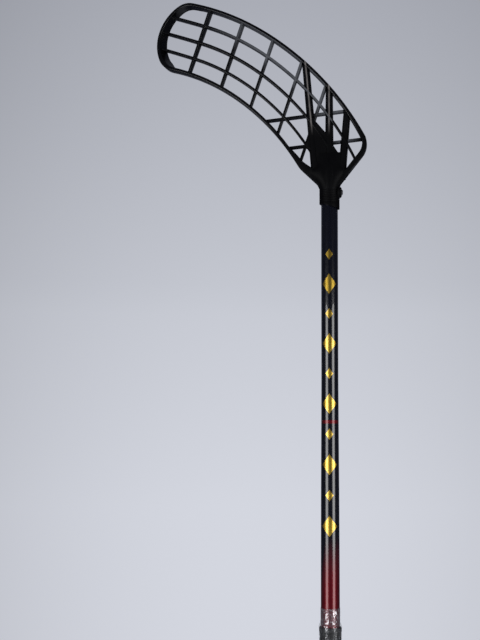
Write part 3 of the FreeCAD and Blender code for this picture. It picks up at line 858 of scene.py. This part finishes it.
    def rim(self):
        """Frames of the rim, from the throat round the toe to the heel, and of the toe's inner wall."""
        blade = self.blade
        half_rim = blade.rim_thickness / 2
        throat = meet_arc(self.top_middle, self.top_line, self.throat_start, self.throat_way, -1)
        throat_bend = self.corner(throat, -self.throat_way, along(self.top_middle, throat), blade.throat_radius)
        heel = meet_arc(self.ground_middle, self.ground_line, self.heel_start, self.heel_way, 1)
        heel_bend = self.corner(heel, along(self.ground_middle, heel), -self.heel_way, blade.heel_radius)
        inner_toe = self.toe_line - self.corner_line
        inner_ground = self.ground_line - self.corner_line
        outer_top = self.top_line + self.corner_line
        ground_corner = meet_circles(self.ground_middle, inner_ground, self.toe_middle, inner_toe)
        top_corner = meet_circles(self.top_middle, outer_top, self.toe_middle, inner_toe)
        top_angle = angle_from(self.top_middle, top_corner)
        toe_start = angle_from(self.toe_middle, top_corner)
        toe_end = angle_from(self.toe_middle, ground_corner)
        ground_angle = angle_from(self.ground_middle, ground_corner)
        throat_angle = angle_from(self.top_middle, throat_bend[-1])
        heel_angle = angle_from(self.ground_middle, heel_bend[0])
        stretches = [
            self.line(self.throat_start, throat_bend[0]),
            throat_bend,
            self.arc(self.top_middle, self.top_line, throat_angle, top_angle),
            self.arc(top_corner, self.corner_line, top_angle - math.pi, toe_start),
            self.arc(self.toe_middle, self.toe_line, toe_start, toe_end),
            self.arc(ground_corner, self.corner_line, toe_end, ground_angle),
            self.arc(self.ground_middle, self.ground_line, ground_angle, heel_angle),
            heel_bend,
            self.line(heel_bend[-1], self.heel_start),
        ]
        stations = stretches[0][:1]
        for stretch in stretches:
            stations += stretch[1:]
        total = sum((after - place).length for place, after in zip(stations, stations[1:]))
        travelled = 0.0
        thicknesses = []
        for before, place in zip(stations[:1] + stations, stations):
            travelled += (place - before).length
            throat_part = max(0, 1 - travelled / blade.throat_fade)
            to_end = total - travelled
            heel_part = max(min((blade.heel_run - to_end) / blade.heel_fade, to_end / blade.heel_root, 1), 0)
            growth = (blade.throat_thickness - blade.rim_thickness) * throat_part
            growth += (blade.heel_thickness - blade.rim_thickness) * heel_part
            thicknesses.append((half_rim, half_rim + growth))
        rim_frames = self.frames(stations, thicknesses, [blade.rim_depth] * len(stations))
        return rim_frames, self.toe_wedge(stations)

    def toe_wedge(self, stations):
        """Frames of the slanted inner wall of the toe."""
        blade = self.blade
        half_rim = blade.rim_thickness / 2
        start = self.last_reach + blade.wedge_start
        toe = [place for place in stations if place.x > start]
        thicknesses = []
        for place in toe:
            part = min((place.x - start) / blade.wedge_length, 1.0)
            to_top = (1 - (place.y - self.toe_middle.y) / self.toe_line) / 2
            grown = blade.toe_wedge * max(to_top, 0.0) ** blade.wedge_power
            thicknesses.append((-half_rim / 2, half_rim + grown * part * part * (3 - part - part)))
        return self.frames(toe, thicknesses, [blade.rim_depth - blade.rim_edge] * len(toe))

    def long_ribs(self):
        """Frames of the ribs along the blade: the first ends in the heel's run, the others in the hosel."""
        blade = self.blade
        for index, part in enumerate(self.long_shares):
            radius = blade.ground_radius + part * (blade.top_radius - blade.ground_radius)
            centre = self.ground_centre.lerp(self.top_centre, part)
            middle = self.flat(centre)
            last = Vector((self.last_reach, arc_rise(middle, radius, self.last_reach)))
            toe = meet_arc(self.toe_middle, self.toe_line, last, along(middle, last), 1)
            if index == 0:
                end = meet_arc(middle, radius, self.heel_start, self.heel_way, 1)
            else:
                root_rise = math.sqrt(radius ** 2 - (self.long_ends[index] - centre.x) ** 2)
                end = self.flat(Vector((self.long_ends[index], 0, centre.z + root_rise)))
            stations = self.line(toe, last)
            stations += self.arc(middle, radius, angle_from(middle, last), angle_from(middle, end))[1:]
            toe_depth, heel_depth = self.long_toe_depths[index], self.long_heel_depths[index]
            yield self.even_frames(stations, self.long_thicknesses[index], toe_depth, heel_depth)

    def cross_ribs(self):
        """Frames of the straight ribs from the top edge to the ground edge."""
        blade = self.blade
        for part in self.cross_shares:
            reach = part * blade.toe_reach
            top = Vector((reach, arc_rise(self.top_middle, self.top_line, reach)))
            ground = Vector((reach, arc_rise(self.ground_middle, self.ground_line, reach)))
            depths = blade.cross_top_depth, blade.cross_ground_depth
            yield self.even_frames(self.line(top, ground), blade.cross_thickness, *depths)

    def level_ribs(self):
        """Frames of the nearly level ribs across the fingers."""
        blade = self.blade
        way = self.flat_way(upright_way(blade.level_slope))
        for height in self.level_heights:
            start = self.upright(0, height)
            ground = meet_arc(self.ground_middle, self.ground_line, start, way, 1)
            top = meet_arc(self.top_middle, self.top_line, start, -way, -1)
            depths = blade.level_depth, blade.level_depth
            yield self.even_frames(self.line(top, ground), blade.level_thickness, *depths)


def spread(first, last, count):
    """Even row of values."""
    return [first + (last - first) * step / (count - 1) for step in range(count)]


def angle_from(middle, place):
    """Direction from a middle to a place."""
    return math.atan2(place.y - middle.y, place.x - middle.x)


def along(middle, place):
    """Direction of an arc at a place, clockwise."""
    turn = angle_from(middle, place)
    return Vector((math.sin(turn), -math.cos(turn)))


def arc_rise(middle, radius, reach):
    """Rise of an arc's upper side at a reach."""
    return middle.y + math.sqrt(radius ** 2 - (reach - middle.x) ** 2)


def meet_arc(middle, radius, start, way, crossing):
    """Place where a straight run crosses an arc: -1 for the first crossing and 1 for the second."""
    offset = start - middle
    along_run = offset.dot(way)
    half_chord = math.sqrt(along_run ** 2 + radius ** 2 - offset.length_squared)
    return start + way * (crossing * half_chord - along_run)


def meet_circles(first, first_radius, second, second_radius):
    """Meeting place of two circles to the right of the line from the first to the second."""
    gap = (second - first).length
    way = (second - first) / gap
    forward = (gap ** 2 + first_radius ** 2 - second_radius ** 2) / (gap + gap)
    aside = math.sqrt(first_radius ** 2 - forward ** 2)
    return first + way * forward + Vector((way.y, -way.x)) * aside


# Pieces

# Radii of rounded edges
TUBE_EDGE = 0.0003
FINGER_EDGE = 0.0007
WEB_EDGE = 0.0006
BOSS_EDGE = 0.0006
BAND_EDGE = 0.00018
CAP_EDGE = 0.0003
# Angles in degrees past which the grip's laps and the film's creases are shaded as sharp
LAP_ANGLE = 50
CREASE_ANGLE = 60


def shaft_radius(shaft, height):
    """Outer radius of the tube under the grip."""
    slimming = (shaft.grip_radius - shaft.butt_radius) * (height - shaft.bottom)
    return shaft.butt_radius + slimming / (shaft.grip_top - shaft.bottom)


class STICK_OT_shaft(bpy.types.Operator):
    """Tapered tube with its lacquer"""

    bl_idname = "stick.shaft"
    bl_label = "Shaft"

    def execute(self, context):
        shaft = context.scene.stick_shaft
        outer = [
            (shaft.butt_radius, shaft.bottom),
            (shaft.grip_radius, shaft.grip_top),
            (shaft.middle_radius, shaft.taper_bottom),
            (shaft.tip_radius, shaft.slim_bottom),
            (shaft.tip_radius, shaft.top),
        ]
        inner = [(radius - shaft.wall, height) for radius, height in reversed(outer)]
        bm = bmesh.new()
        turned(bm, outer + inner + outer[:1])
        round_edges(bm, TUBE_EDGE, segments=2, test=is_sharp)
        finish_piece(to_object("shaft_tube", bm), lacquer(shaft), "stick", "shaft")
        return {"FINISHED"}


class STICK_OT_blade(bpy.types.Operator):
    """Latticed blade with its fingers, hosel, socket and screw boss"""

    bl_idname = "stick.blade"
    bl_label = "Blade"

    def execute(self, context):
        blade = context.scene.stick_blade
        layout = BladeLayout(blade)
        rim_frames, wedge_frames = layout.rim()
        rim = sweep(rim_frames, DRAFTED)
        round_edges(rim, blade.rim_edge, segments=4, test=is_sharp)
        solids = [rim, sweep(wedge_frames, WEDGE)]
        for frames in (*layout.long_ribs(), *layout.cross_ribs(), *layout.level_ribs()):
            rib = sweep(frames, DRAFTED)
            round_edges(rib, blade.rib_edge, segments=3, test=is_sharp)
            solids.append(rib)
        solids += fingers(layout)
        solids += [web(blade), foot(blade), socket(blade), boss(blade)]
        piece = fused("blade_moulding", solids, [bore(blade), screw_hole(blade)])
        finish_piece(piece, blade_plastic(blade), "stick", "blade")
        return {"FINISHED"}


# How far the fingers reach under the shoulder, their depth there, and how it falls off to the tips
FINGER_ROOT = 0.012
FINGER_ROOT_DEPTH = 0.0156
FINGER_DEPTH_LOSS = 0.0074
FINGER_DEPTH_POWER = 0.6
FINGER_CREASE = math.radians(25)


def fingers(layout):
    """Three crested fingers from the shoulder to the ground rim, cut to the rim's direction."""
    blade = layout.blade
    made = []
    for tip_out, root_out, tip_width, root_width in layout.fingers:
        root = layout.upright(root_out, blade.shoulder - FINGER_ROOT)
        tip = layout.flat(Vector((tip_out, 0, layout.ground_height_at(tip_out))))
        stations = layout.line(root, tip)
        last = len(stations) - 1
        halves = [(width / 2, width / 2) for width in spread(root_width, tip_width, last + 1)]
        losses = [FINGER_DEPTH_LOSS * (step / last) ** FINGER_DEPTH_POWER for step in range(last + 1)]
        frames = layout.frames(stations, halves, [FINGER_ROOT_DEPTH - loss for loss in losses])
        run, edge_run = (tip - root).normalized(), along(layout.ground_middle, tip)
        skew = Matrix.Identity(4)
        skew[2][0] = tip_width * (edge_run.dot(run) / edge_run.dot(Vector((-run.y, run.x))))
        frames[-1] = frames[-1] @ skew
        bar = sweep(frames, CRESTED)
        round_edges(bar, FINGER_EDGE, segments=3, test=lambda edge: is_sharp(edge, FINGER_CREASE))
        made.append(bar)
    return made


# Half the web's thickness, and its corners: distance from the axis and height above the mouth
WEB_HALF = 0.0052
WEB_OUTLINE = (
    (-0.0165, 0.04), (0.015, 0.04), (0.015, 0.067), (0.0108, 0.067), (0.0025, 0.08), (0.0, 0.093),
    (-0.0048, 0.093), (-0.0215, 0.113), (-0.0215, 0.095), (-0.0305, 0.0762), (-0.0165, 0.0665),
)


def web(blade):
    """Plate between the fingers."""
    bm = bmesh.new()
    corners = [(x, -WEB_HALF, blade.mouth + height) for x, height in WEB_OUTLINE]
    face = bm.faces.new([bm.verts.new(corner) for corner in corners])
    grown = bmesh.ops.extrude_face_region(bm, geom=[face])["geom"]
    bmesh.ops.translate(bm, vec=AXIS_Y * (WEB_HALF + WEB_HALF), verts=verts_in(grown))
    face_outwards(bm)
    round_edges(bm, WEB_EDGE, segments=3, test=is_sharp)
    return bm


# Sections of the foot: height above the mouth, shift from the axis, half the width and half the depth
FOOT_SECTIONS = (
    (0.012, 0.0, 0.0122, 0.0122), (0.022, 0.0, 0.0124, 0.0124), (0.029, -0.0006, 0.0152, 0.0121),
    (0.036, -0.0016, 0.0215, 0.0109), (0.041, -0.0024, 0.0262, 0.0101), (0.046, -0.0024, 0.0275, 0.0093),
    (0.0485, -0.0012, 0.0212, 0.009), (0.056, -0.001, 0.0205, 0.0082), (0.066, -0.001, 0.0195, 0.0062),
)
# Heights between which the foot turns from round to flat-sided
FOOT_ROUND = FOOT_SECTIONS[1][0]
FOOT_SQUARE = FOOT_SECTIONS[4][0]


def foot(blade):
    """Flat body that widens from the round socket to the shoulder."""
    bm = bmesh.new()
    bmesh.ops.create_circle(bm, cap_ends=True, radius=1.0, segments=48)
    frames = []
    for height, shift, wide, deep in FOOT_SECTIONS:
        place = Matrix.Translation((shift, 0, blade.mouth + height))
        frames.append(place @ Matrix.Diagonal((wide, deep, 1, 1)))
    moved(bm, frames[0])
    extrude_along(bm, bm.faces[:][0], frames)
    square_off(bm, blade.mouth + FOOT_ROUND, blade.mouth + FOOT_SQUARE)
    return bm


def square_off(bm, start, end, power=3.2):
    """Pushes round sections out towards flat-sided ones between two heights."""
    for vert in bm.verts:
        part = min(max((vert.co.z - start) / (end - start), 0.0), 1.0)
        turn = math.atan2(vert.co.y, vert.co.x)
        squared = (abs(math.cos(turn)) ** power + abs(math.sin(turn)) ** power) ** (-1 / power)
        vert.co.y *= 1 + part * (squared - 1)
    face_outwards(bm)


# Groove of the socket: part of the pitch and part of the depth
GROOVE = ((0.0, 0.0), (0.1, 0.2), (0.16, 1.0), (0.3, 1.0), (0.36, 0.2), (0.46, 0.0))
# Nose of the socket: radius and height above the mouth
NOSE = (
    (0.0124, 0.03), (0.0121, 0.037), (0.0113, 0.044), (0.0098, 0.052), (0.0075, 0.06), (0.0045, 0.0665),
    (0.0, 0.069),
)


def socket(blade):
    """Ridged round body with a slanted mouth and a nose that fades into the foot."""
    bottom = blade.mouth - 2 * (blade.socket_radius * math.tan(blade.mouth_slant))
    profile = [(0.0, bottom), (blade.socket_radius, bottom)]
    for index in range(blade.ridge_count):
        start = blade.mouth + blade.ridge_start + index * blade.ridge_pitch
        for part, dip in GROOVE:
            profile.append((blade.socket_radius - dip * blade.ridge_depth, start + part * blade.ridge_pitch))
    profile += [(radius, blade.mouth + height) for radius, height in NOSE]
    bm = bmesh.new()
    turned(bm, profile, steps=72)
    face_outwards(bm)
    downward = Vector((-math.sin(blade.mouth_slant), 0, -math.cos(blade.mouth_slant)))
    cut_off(bm, AXIS_Z * blade.mouth, downward, MERGE_DISTANCE)
    bmesh.ops.holes_fill(bm, edges=[edge for edge in bm.edges if edge.is_boundary], sides=0)
    face_outwards(bm)
    return bm


def boss(blade):
    """Raised seat of the screw."""
    reach = blade.boss_reach - blade.bore_radius
    foot_radius = blade.boss_radius + reach * math.tan(blade.boss_slope)
    bm = bmesh.new()
    bmesh.ops.create_cone(
        bm, cap_ends=True, segments=40, radius1=foot_radius, radius2=blade.boss_radius, depth=reach
    )
    middle = Vector((blade.bore_radius + reach / 2, 0, blade.mouth + blade.screw_height))
    moved(bm, Matrix.Translation(middle) @ Matrix.Rotation(QUARTER_TURN, 4, "Y"))

    def on_face(edge):
        return is_sharp(edge) and min(vert.co.x for vert in edge.verts) > middle.x

    round_edges(bm, BOSS_EDGE, segments=3, test=on_face)
    return bm


def round_hole(radius, start, way, depth):
    """Round bar that cuts a hole."""
    bm = bmesh.new()
    bmesh.ops.create_cone(bm, cap_ends=True, segments=64, radius1=radius, radius2=radius, depth=depth)
    turn = way.to_track_quat("Z", "Y").to_matrix().to_4x4()
    moved(bm, Matrix.Translation(start + way * depth / 2) @ turn)
    return bm


def bore(blade):
    start = AXIS_Z * (blade.mouth - blade.socket_radius)
    return round_hole(blade.bore_radius, start, AXIS_Z, blade.socket_top - start.z)


def screw_hole(blade):
    start = AXIS_Z * (blade.mouth + blade.screw_height)
    return round_hole(blade.screw_hole, start, AXIS_X, blade.boss_reach + blade.boss_radius)


# Dome of the head: part of its radius and part of its height
HEAD_DOME = ((1.0, 0.0), (1.0, 0.35), (0.9, 0.7), (0.65, 0.93), (0.0, 1.0))
# Half the thread's foot as part of its pitch, how far it goes in as part of its depth, and its steps per turn
THREAD_FOOT = 0.42
THREAD_ROOT = 1.4
THREAD_STEPS = 24


class STICK_OT_screw(bpy.types.Operator):
    """Round-headed self-tapping screw"""

    bl_idname = "stick.screw"
    bl_label = "Blade screw"

    def execute(self, context):
        screw = context.scene.stick_screw
        blade = context.scene.stick_blade
        core = screw.radius - screw.thread
        head = bmesh.new()
        turned(head, [
            (0.0, -screw.length),
            (core, -screw.length + screw.point),
            (core, 0.0),
            *((part * screw.head_radius, high * screw.head_height) for part, high in HEAD_DOME),
        ], steps=48)
        recess = []
        for wide, high in ((screw.recess_span, screw.recess_width), (screw.recess_width, screw.recess_span)):
            slot = bmesh.new()
            bmesh.ops.create_cube(slot, size=1.0)
            size = Matrix.Diagonal((wide, high, 2 * screw.recess_depth, 1))
            moved(slot, Matrix.Translation((0, 0, screw.head_height)) @ size)
            recess.append(slot)
        piece = fused("screw", [head, thread(screw)], recess)
        seat = Matrix.Translation((blade.boss_reach, 0, blade.mouth + blade.screw_height))
        piece.data.transform(seat @ Matrix.Rotation(QUARTER_TURN, 4, "Y"))
        finish_piece(piece, screw_steel(screw), "blade_screw", "blade_screw")
        return {"FINISHED"}


def thread(screw):
    """Helical ridge round the shank, rooted a little under its skin."""
    turns = math.floor((screw.length - screw.point) / screw.pitch) - 1
    half = THREAD_FOOT * screw.pitch
    bottom = -screw.length + screw.point + half
    inner = screw.radius - THREAD_ROOT * screw.thread
    bm = bmesh.new()
    ridge = ((inner, -half), (screw.radius, 0), (inner, half))
    face = bm.faces.new([bm.verts.new((radius, 0, bottom + rise)) for radius, rise in ridge])
    spin(bm, [face], THREAD_STEPS * turns, turns=turns, rise=turns * screw.pitch)
    face_outwards(bm)
    return bm


class STICK_OT_grip(bpy.types.Operator):
    """Wound strip and its finishing band"""

    bl_idname = "stick.grip"
    bl_label = "Grip"

    def execute(self, context):
        grip = context.scene.stick_grip
        shaft = context.scene.stick_shaft
        finish_piece(winding(grip, shaft), grip_strip(grip), "stick", "grip_wrap", LAP_ANGLE)
        finish_piece(band(grip, shaft), band_rubber(grip), "stick", "grip_collar")
        return {"FINISHED"}


# Part of the pitch and part of the lap by which the strip lies lower: laps at its edges and a seam in its middle
STRIP = (
    (0.0, 1.0), (0.03, 0.4), (0.06, 0.1), (0.1, 0.0), (0.3, 0.0), (0.48, 0.0),
    (0.5, 0.3), (0.52, 0.0), (0.7, 0.0), (0.94, 0.25), (0.985, 0.5), (1.0, 1.0),
)
STRIP_MERGE = 1e-5
STRIP_CUT = 1e-7


def winding(grip, shaft):
    """Strip wound up the tube, each turn lapping over the one above."""
    turns = math.ceil((shaft.grip_top - shaft.bottom) / grip.pitch) + 2
    bottom = shaft.bottom - grip.pitch
    bm = bmesh.new()
    # The strip is wound round a tube of radius one and then let down onto the taper.
    line = [(1.0 + (grip.thickness - dip * grip.lap), bottom + part * grip.pitch) for part, dip in STRIP]
    spin(bm, wire(bm, line), steps=64, rise=grip.pitch)
    one_turn = bm.verts[:] + bm.edges[:] + bm.faces[:]
    for turn in range(1, turns):
        copied = bmesh.ops.duplicate(bm, geom=one_turn)["geom"]
        bmesh.ops.translate(bm, vec=AXIS_Z * (turn * grip.pitch), verts=verts_in(copied))
    bmesh.ops.remove_doubles(bm, verts=bm.verts, dist=STRIP_MERGE)
    for height, way in ((shaft.bottom, -AXIS_Z), (shaft.grip_top, AXIS_Z)):
        cut_off(bm, AXIS_Z * height, way, STRIP_CUT)
    for vert in bm.verts:
        outward, wound = outward_at(vert.co)
        radius = shaft_radius(shaft, vert.co.z) + grip.clearance + wound - 1.0
        vert.co = outward * radius + AXIS_Z * vert.co.z
    face_outwards(bm)
    rims = []
    for height in (shaft.bottom, shaft.grip_top):
        open_edges = [edge for edge in bm.edges if edge.is_boundary]
        ends = [edge for edge in open_edges if abs(edge.verts[0].co.z - height) < MERGE_DISTANCE]
        grown = bmesh.ops.extrude_edge_only(bm, edges=ends)["geom"]
        for vert in verts_in(grown):
            inner = shaft_radius(shaft, height) + grip.clearance
            vert.co = outward_at(vert.co)[0] * inner + AXIS_Z * height
        rims += [item for item in grown if isinstance(item, bmesh.types.BMEdge)]
    bmesh.ops.bridge_loops(bm, edges=[edge for edge in rims if edge.is_boundary])
    return to_object("grip_winding", bm)


BAND_GROOVE_HALF = 0.0004
BAND_GROOVE_DEPTH = 0.0001


def band(grip, shaft):
    """Elastic band round the grip's top end, with a fine groove round its middle."""
    top = shaft.grip_top - grip.band_drop
    bottom = top - grip.band_width
    inner = shaft_radius(shaft, top) + grip.clearance + grip.thickness + grip.clearance
    outer = inner + grip.band_thickness
    middle = (bottom + top) / 2
    bm = bmesh.new()
    turned(bm, [
        (inner, bottom),
        (outer, bottom),
        (outer, middle - BAND_GROOVE_HALF),
        (outer - BAND_GROOVE_DEPTH, middle),
        (outer, middle + BAND_GROOVE_HALF),
        (outer, top),
        (inner, top),
        (inner, bottom),
    ])
    round_edges(bm, BAND_EDGE, segments=3, test=is_sharp)
    return to_object("grip_band", bm)


# Length of the finely divided part of the film under the grip's top, and how many rows the two parts have
FILM_FINE = 0.03
FILM_ROWS = 120
FILM_FINE_ROWS = 56


class STICK_OT_film(bpy.types.Operator):
    """Clear crinkled film over the grip"""

    bl_idname = "stick.film"
    bl_label = "Film"

    def execute(self, context):
        film = context.scene.stick_film
        grip = context.scene.stick_grip
        shaft = context.scene.stick_shaft
        over_grip = grip.clearance * 2 + grip.thickness + grip.band_thickness + film.clearance
        top = shaft.grip_top + film.overhang
        bm = bmesh.new()
        fine_bottom = shaft.grip_top - FILM_FINE
        heights = spread(film.bottom, fine_bottom, FILM_ROWS) + spread(fine_bottom, top, FILM_FINE_ROWS)[1:]
        profile = []
        for height in heights:
            if height < shaft.grip_top:
                radius = shaft_radius(shaft, height) + over_grip
            else:
                closing = min((height - shaft.grip_top) / film.slope, 1.0)
                radius = shaft.grip_radius + over_grip + (film.clearance - over_grip) * closing
            profile.append((radius, height))
        turned(bm, profile, steps=120)
        crinkle(bm, film, shaft.grip_top)
        face_outwards(bm)
        bmesh.ops.solidify(bm, geom=bm.faces[:], thickness=film.thickness)
        finish = clear_film(film, shaft.grip_top)
        finish_piece(to_object("film_sleeve", bm), finish, "stick", "grip_film", CREASE_ANGLE)
        return {"FINISHED"}


# Looseness over the grip, and where it grows to one, from under the grip's top
FILM_TIGHT = 0.2
LOOSE_DROP = 0.006
LOOSE_LENGTH = 0.01
# How fast the facets change along the shaft, their slant, how much finer the fine ones are, and the share of each
FACET_CHANGE = 0.55
FACET_SLANT = 0.3
FINE_FACETS = 2.3
FACET_SHARE = 0.75
FINE_SHARE = 0.4


def crinkle(bm, film, grip_top):
    """Pushes the film out into facets that meet in creases, least where it is tight over the grip."""
    for vert in bm.verts:
        x, y, z = vert.co
        loose = min(max(FILM_TIGHT + (z - grip_top + LOOSE_DROP) / LOOSE_LENGTH, FILM_TIGHT), 1.0)
        place = Vector((x, y, FACET_CHANGE * z + FACET_SLANT * x)) / film.crinkle_size
        near, far = noise.voronoi(place)[0][:2]
        fine_near, fine_far = noise.voronoi(place * FINE_FACETS)[0][:2]
        height = min(FACET_SHARE * (far - near) + FINE_SHARE * (fine_far - fine_near), 1.0)
        vert.co += outward_at(vert.co)[0] * film.crinkle * loose * height


# Radius and height of the cap's face: a dimple in the middle and a ring groove
CAP_FACE = (
    (0.0, 0.0006), (0.0022, 0.0006), (0.0028, 0.0), (0.0086, 0.0), (0.0089, 0.0005), (0.0097, 0.0005),
    (0.01, 0.0),
)
CAP_RIM = 0.012


def on_cap_rim(edge):
    flat = max(vert.co.z for vert in edge.verts) < MERGE_DISTANCE
    return is_sharp(edge) and flat and edge.verts[0].co.length > CAP_RIM


class STICK_OT_cap(bpy.types.Operator):
    """End cap: a flange with a ring groove, on a hollow plug"""

    bl_idname = "stick.cap"
    bl_label = "End cap"

    def execute(self, context):
        cap = context.scene.stick_cap
        inner = cap.plug_radius - cap.plug_wall
        plug_top = cap.flange + cap.plug_length
        bm = bmesh.new()
        turned(bm, [
            *CAP_FACE,
            (cap.flange_radius, 0.0),
            (cap.flange_radius, cap.flange),
            (cap.plug_radius, cap.flange),
            (cap.plug_radius, plug_top),
            (inner, plug_top),
            (inner, cap.flange),
            (0.0, cap.flange),
        ])
        round_edges(bm, cap.edge, segments=4, test=on_cap_rim)
        round_edges(bm, CAP_EDGE, segments=2, test=is_sharp)
        finish_piece(to_object("butt_cap", bm), cap_plastic(cap), "stick", "end_cap")
        return {"FINISHED"}


class STICK_OT_stage(bpy.types.Operator):
    """Floor, backdrop, soft lights and camera"""

    bl_idname = "stick.stage"
    bl_label = "Stage"

    def execute(self, context):
        stage = context.scene.stick_stage
        context.scene.view_settings.view_transform = "Standard"
        make_floor(stage)
        make_world(context.scene, stage)
        for name, heading in (("left_light", stage.left_heading), ("right_light", stage.right_heading)):
            make_light(name, heading, stage)
        make_camera(context.scene, stage)
        return {"FINISHED"}


FLOOR_DROP = 0.0005


def make_floor(stage):
    """Round sheet of pale paper just under the butt."""
    bm = bmesh.new()
    bmesh.ops.create_circle(bm, cap_ends=True, radius=stage.floor_radius, segments=96)
    bmesh.ops.translate(bm, vec=AXIS_Z * -FLOOR_DROP, verts=bm.verts)
    floor = to_object("floor", bm)
    material, tree, shader = new_material("floor_paper")
    grain = noise_value(tree, object_place(tree), scale=40)
    feed(tree, shader, Base_Color=mottled(tree, grain, stage.floor, 0.97, 1), Roughness=0.9)
    floor.data.materials.append(material)


# Rises between which the backdrop changes, the turns and rises between which reflections show it,
# and how fast and how far it darkens to the sides
LOW_BAND = (-0.08, 0.13)
HIGH_BAND = (0.1, 0.38)
REFLECTED_TURNS = (0.92, 0.62)
REFLECTED_RISES = (-0.12, 0.06)
SIDE_FALLOFF = 2.6
SIDE_LEAST = 0.82


def make_world(scene, stage):
    """Pale backdrop all round for the camera and soft light from all sides; reflections show a dim room."""
    world = bpy.data.worlds.new("studio")
    world.use_nodes = True
    tree = world.node_tree
    x, y, z = split(tree, add(tree, "ShaderNodeTexCoord").outputs["Generated"])
    low_part = ramp(tree, z, *LOW_BAND, interpolation="LINEAR")
    high_part = ramp(tree, z, *HIGH_BAND, interpolation="LINEAR")
    low = mix_colour(tree, low_part, opaque(stage.backdrop_low), opaque(stage.backdrop_middle))
    backdrop = mix_colour(tree, high_part, low, opaque(stage.backdrop_high))
    sine, cosine = math.sin(stage.backdrop_heading), math.cos(stage.backdrop_heading)
    turn = abs((x * cosine + y * sine).math("ARCTAN2", y * cosine - x * sine))
    lit = ramp(tree, turn, *REFLECTED_TURNS, high=stage.reflected) * ramp(tree, z, *REFLECTED_RISES)
    room = mix_colour(tree, lit, opaque(stage.front), backdrop)
    path = add(tree, "ShaderNodeLightPath").outputs
    seen = math_node(tree, "MAXIMUM", path["Is Camera Ray"], path["Is Transmission Ray"])
    unseen = mix_colour(tree, path["Is Glossy Ray"], opaque(stage.ambient), room)
    vignette = (1.0 - turn * turn * SIDE_FALLOFF).at_least(SIDE_LEAST)
    feed(tree, tree.nodes["Background"], Color=mix_colour(tree, seen, unseen, backdrop), Strength=vignette)
    scene.world = world


def make_light(name, heading, stage):
    """Tall soft light that faces the shaft."""
    light = bpy.data.lights.new(name, "AREA")
    light.shape = "RECTANGLE"
    light.size = stage.light_width
    light.size_y = stage.light_top - stage.light_bottom
    light.energy = stage.light_power
    made = bpy.data.objects.new(name, light)
    bpy.context.scene.collection.objects.link(made)
    way = Vector((math.sin(heading), -math.cos(heading), 0))
    made.location = way * stage.light_distance + AXIS_Z * (stage.light_bottom + stage.light_top) / 2
    made.rotation_euler = (-way).to_track_quat("-Z", "Y").to_euler()
    made.visible_camera = False


SENSOR_WIDTH = 36
CLIP_START = 0.05


def make_camera(scene, stage):
    """Camera at the picture's viewing angle."""
    heading, pitch, roll = stage.camera_heading, stage.camera_pitch, stage.camera_roll
    level_right = Vector((math.cos(heading), math.sin(heading), 0))
    ahead = Vector((-math.sin(heading), math.cos(heading), 0))
    forward = ahead * math.cos(pitch) + AXIS_Z * math.sin(pitch)
    level_up = AXIS_Z * math.cos(pitch) - ahead * math.sin(pitch)
    right = level_right * math.cos(roll) + level_up * math.sin(roll)
    up = level_up * math.cos(roll) - level_right * math.sin(roll)
    place = AXIS_Z * stage.camera_height - ahead * stage.camera_distance - level_right * stage.camera_offset
    data = bpy.data.cameras.new("camera")
    data.lens = stage.lens
    data.sensor_width = SENSOR_WIDTH
    data.clip_start = CLIP_START
    made = bpy.data.objects.new("camera", data)
    scene.collection.objects.link(made)
    made.matrix_world = from_axes(right, up, -forward, place)
    scene.camera = made


class STICK_PT_panel(bpy.types.Panel):
    """Builds the stick piece by piece"""

    bl_label = "Floorball stick"
    bl_idname = "STICK_PT_panel"
    bl_space_type = "VIEW_3D"
    bl_region_type = "UI"
    bl_category = "Stick"

    def draw(self, context):
        for settings_name, (_, operator) in PIECES.items():
            box = self.layout.box()
            box.operator(operator.bl_idname)
            settings = getattr(context.scene, settings_name)
            for name in settings.__annotations__:
                box.prop(settings, name)


PIECES = {
    "stick_shaft": (ShaftSettings, STICK_OT_shaft),
    "stick_blade": (BladeSettings, STICK_OT_blade),
    "stick_screw": (ScrewSettings, STICK_OT_screw),
    "stick_grip": (GripSettings, STICK_OT_grip),
    "stick_film": (FilmSettings, STICK_OT_film),
    "stick_cap": (CapSettings, STICK_OT_cap),
    "stick_stage": (StageSettings, STICK_OT_stage),
}
CLASSES = (*(made for row in PIECES.values() for made in row), STICK_PT_panel)


def register():
    for made in CLASSES:
        bpy.utils.register_class(made)
    for name, (settings, _) in PIECES.items():
        setattr(bpy.types.Scene, name, PointerProperty(type=settings))


def unregister():
    for name in PIECES:
        delattr(bpy.types.Scene, name)
    for made in reversed(CLASSES):
        bpy.utils.unregister_class(made)


def main():
    register()
    bpy.ops.stick.shaft()
    bpy.ops.stick.blade()
    bpy.ops.stick.screw()
    bpy.ops.stick.grip()
    bpy.ops.stick.film()
    bpy.ops.stick.cap()
    bpy.ops.stick.stage()


if __name__ == "__main__":
    main()
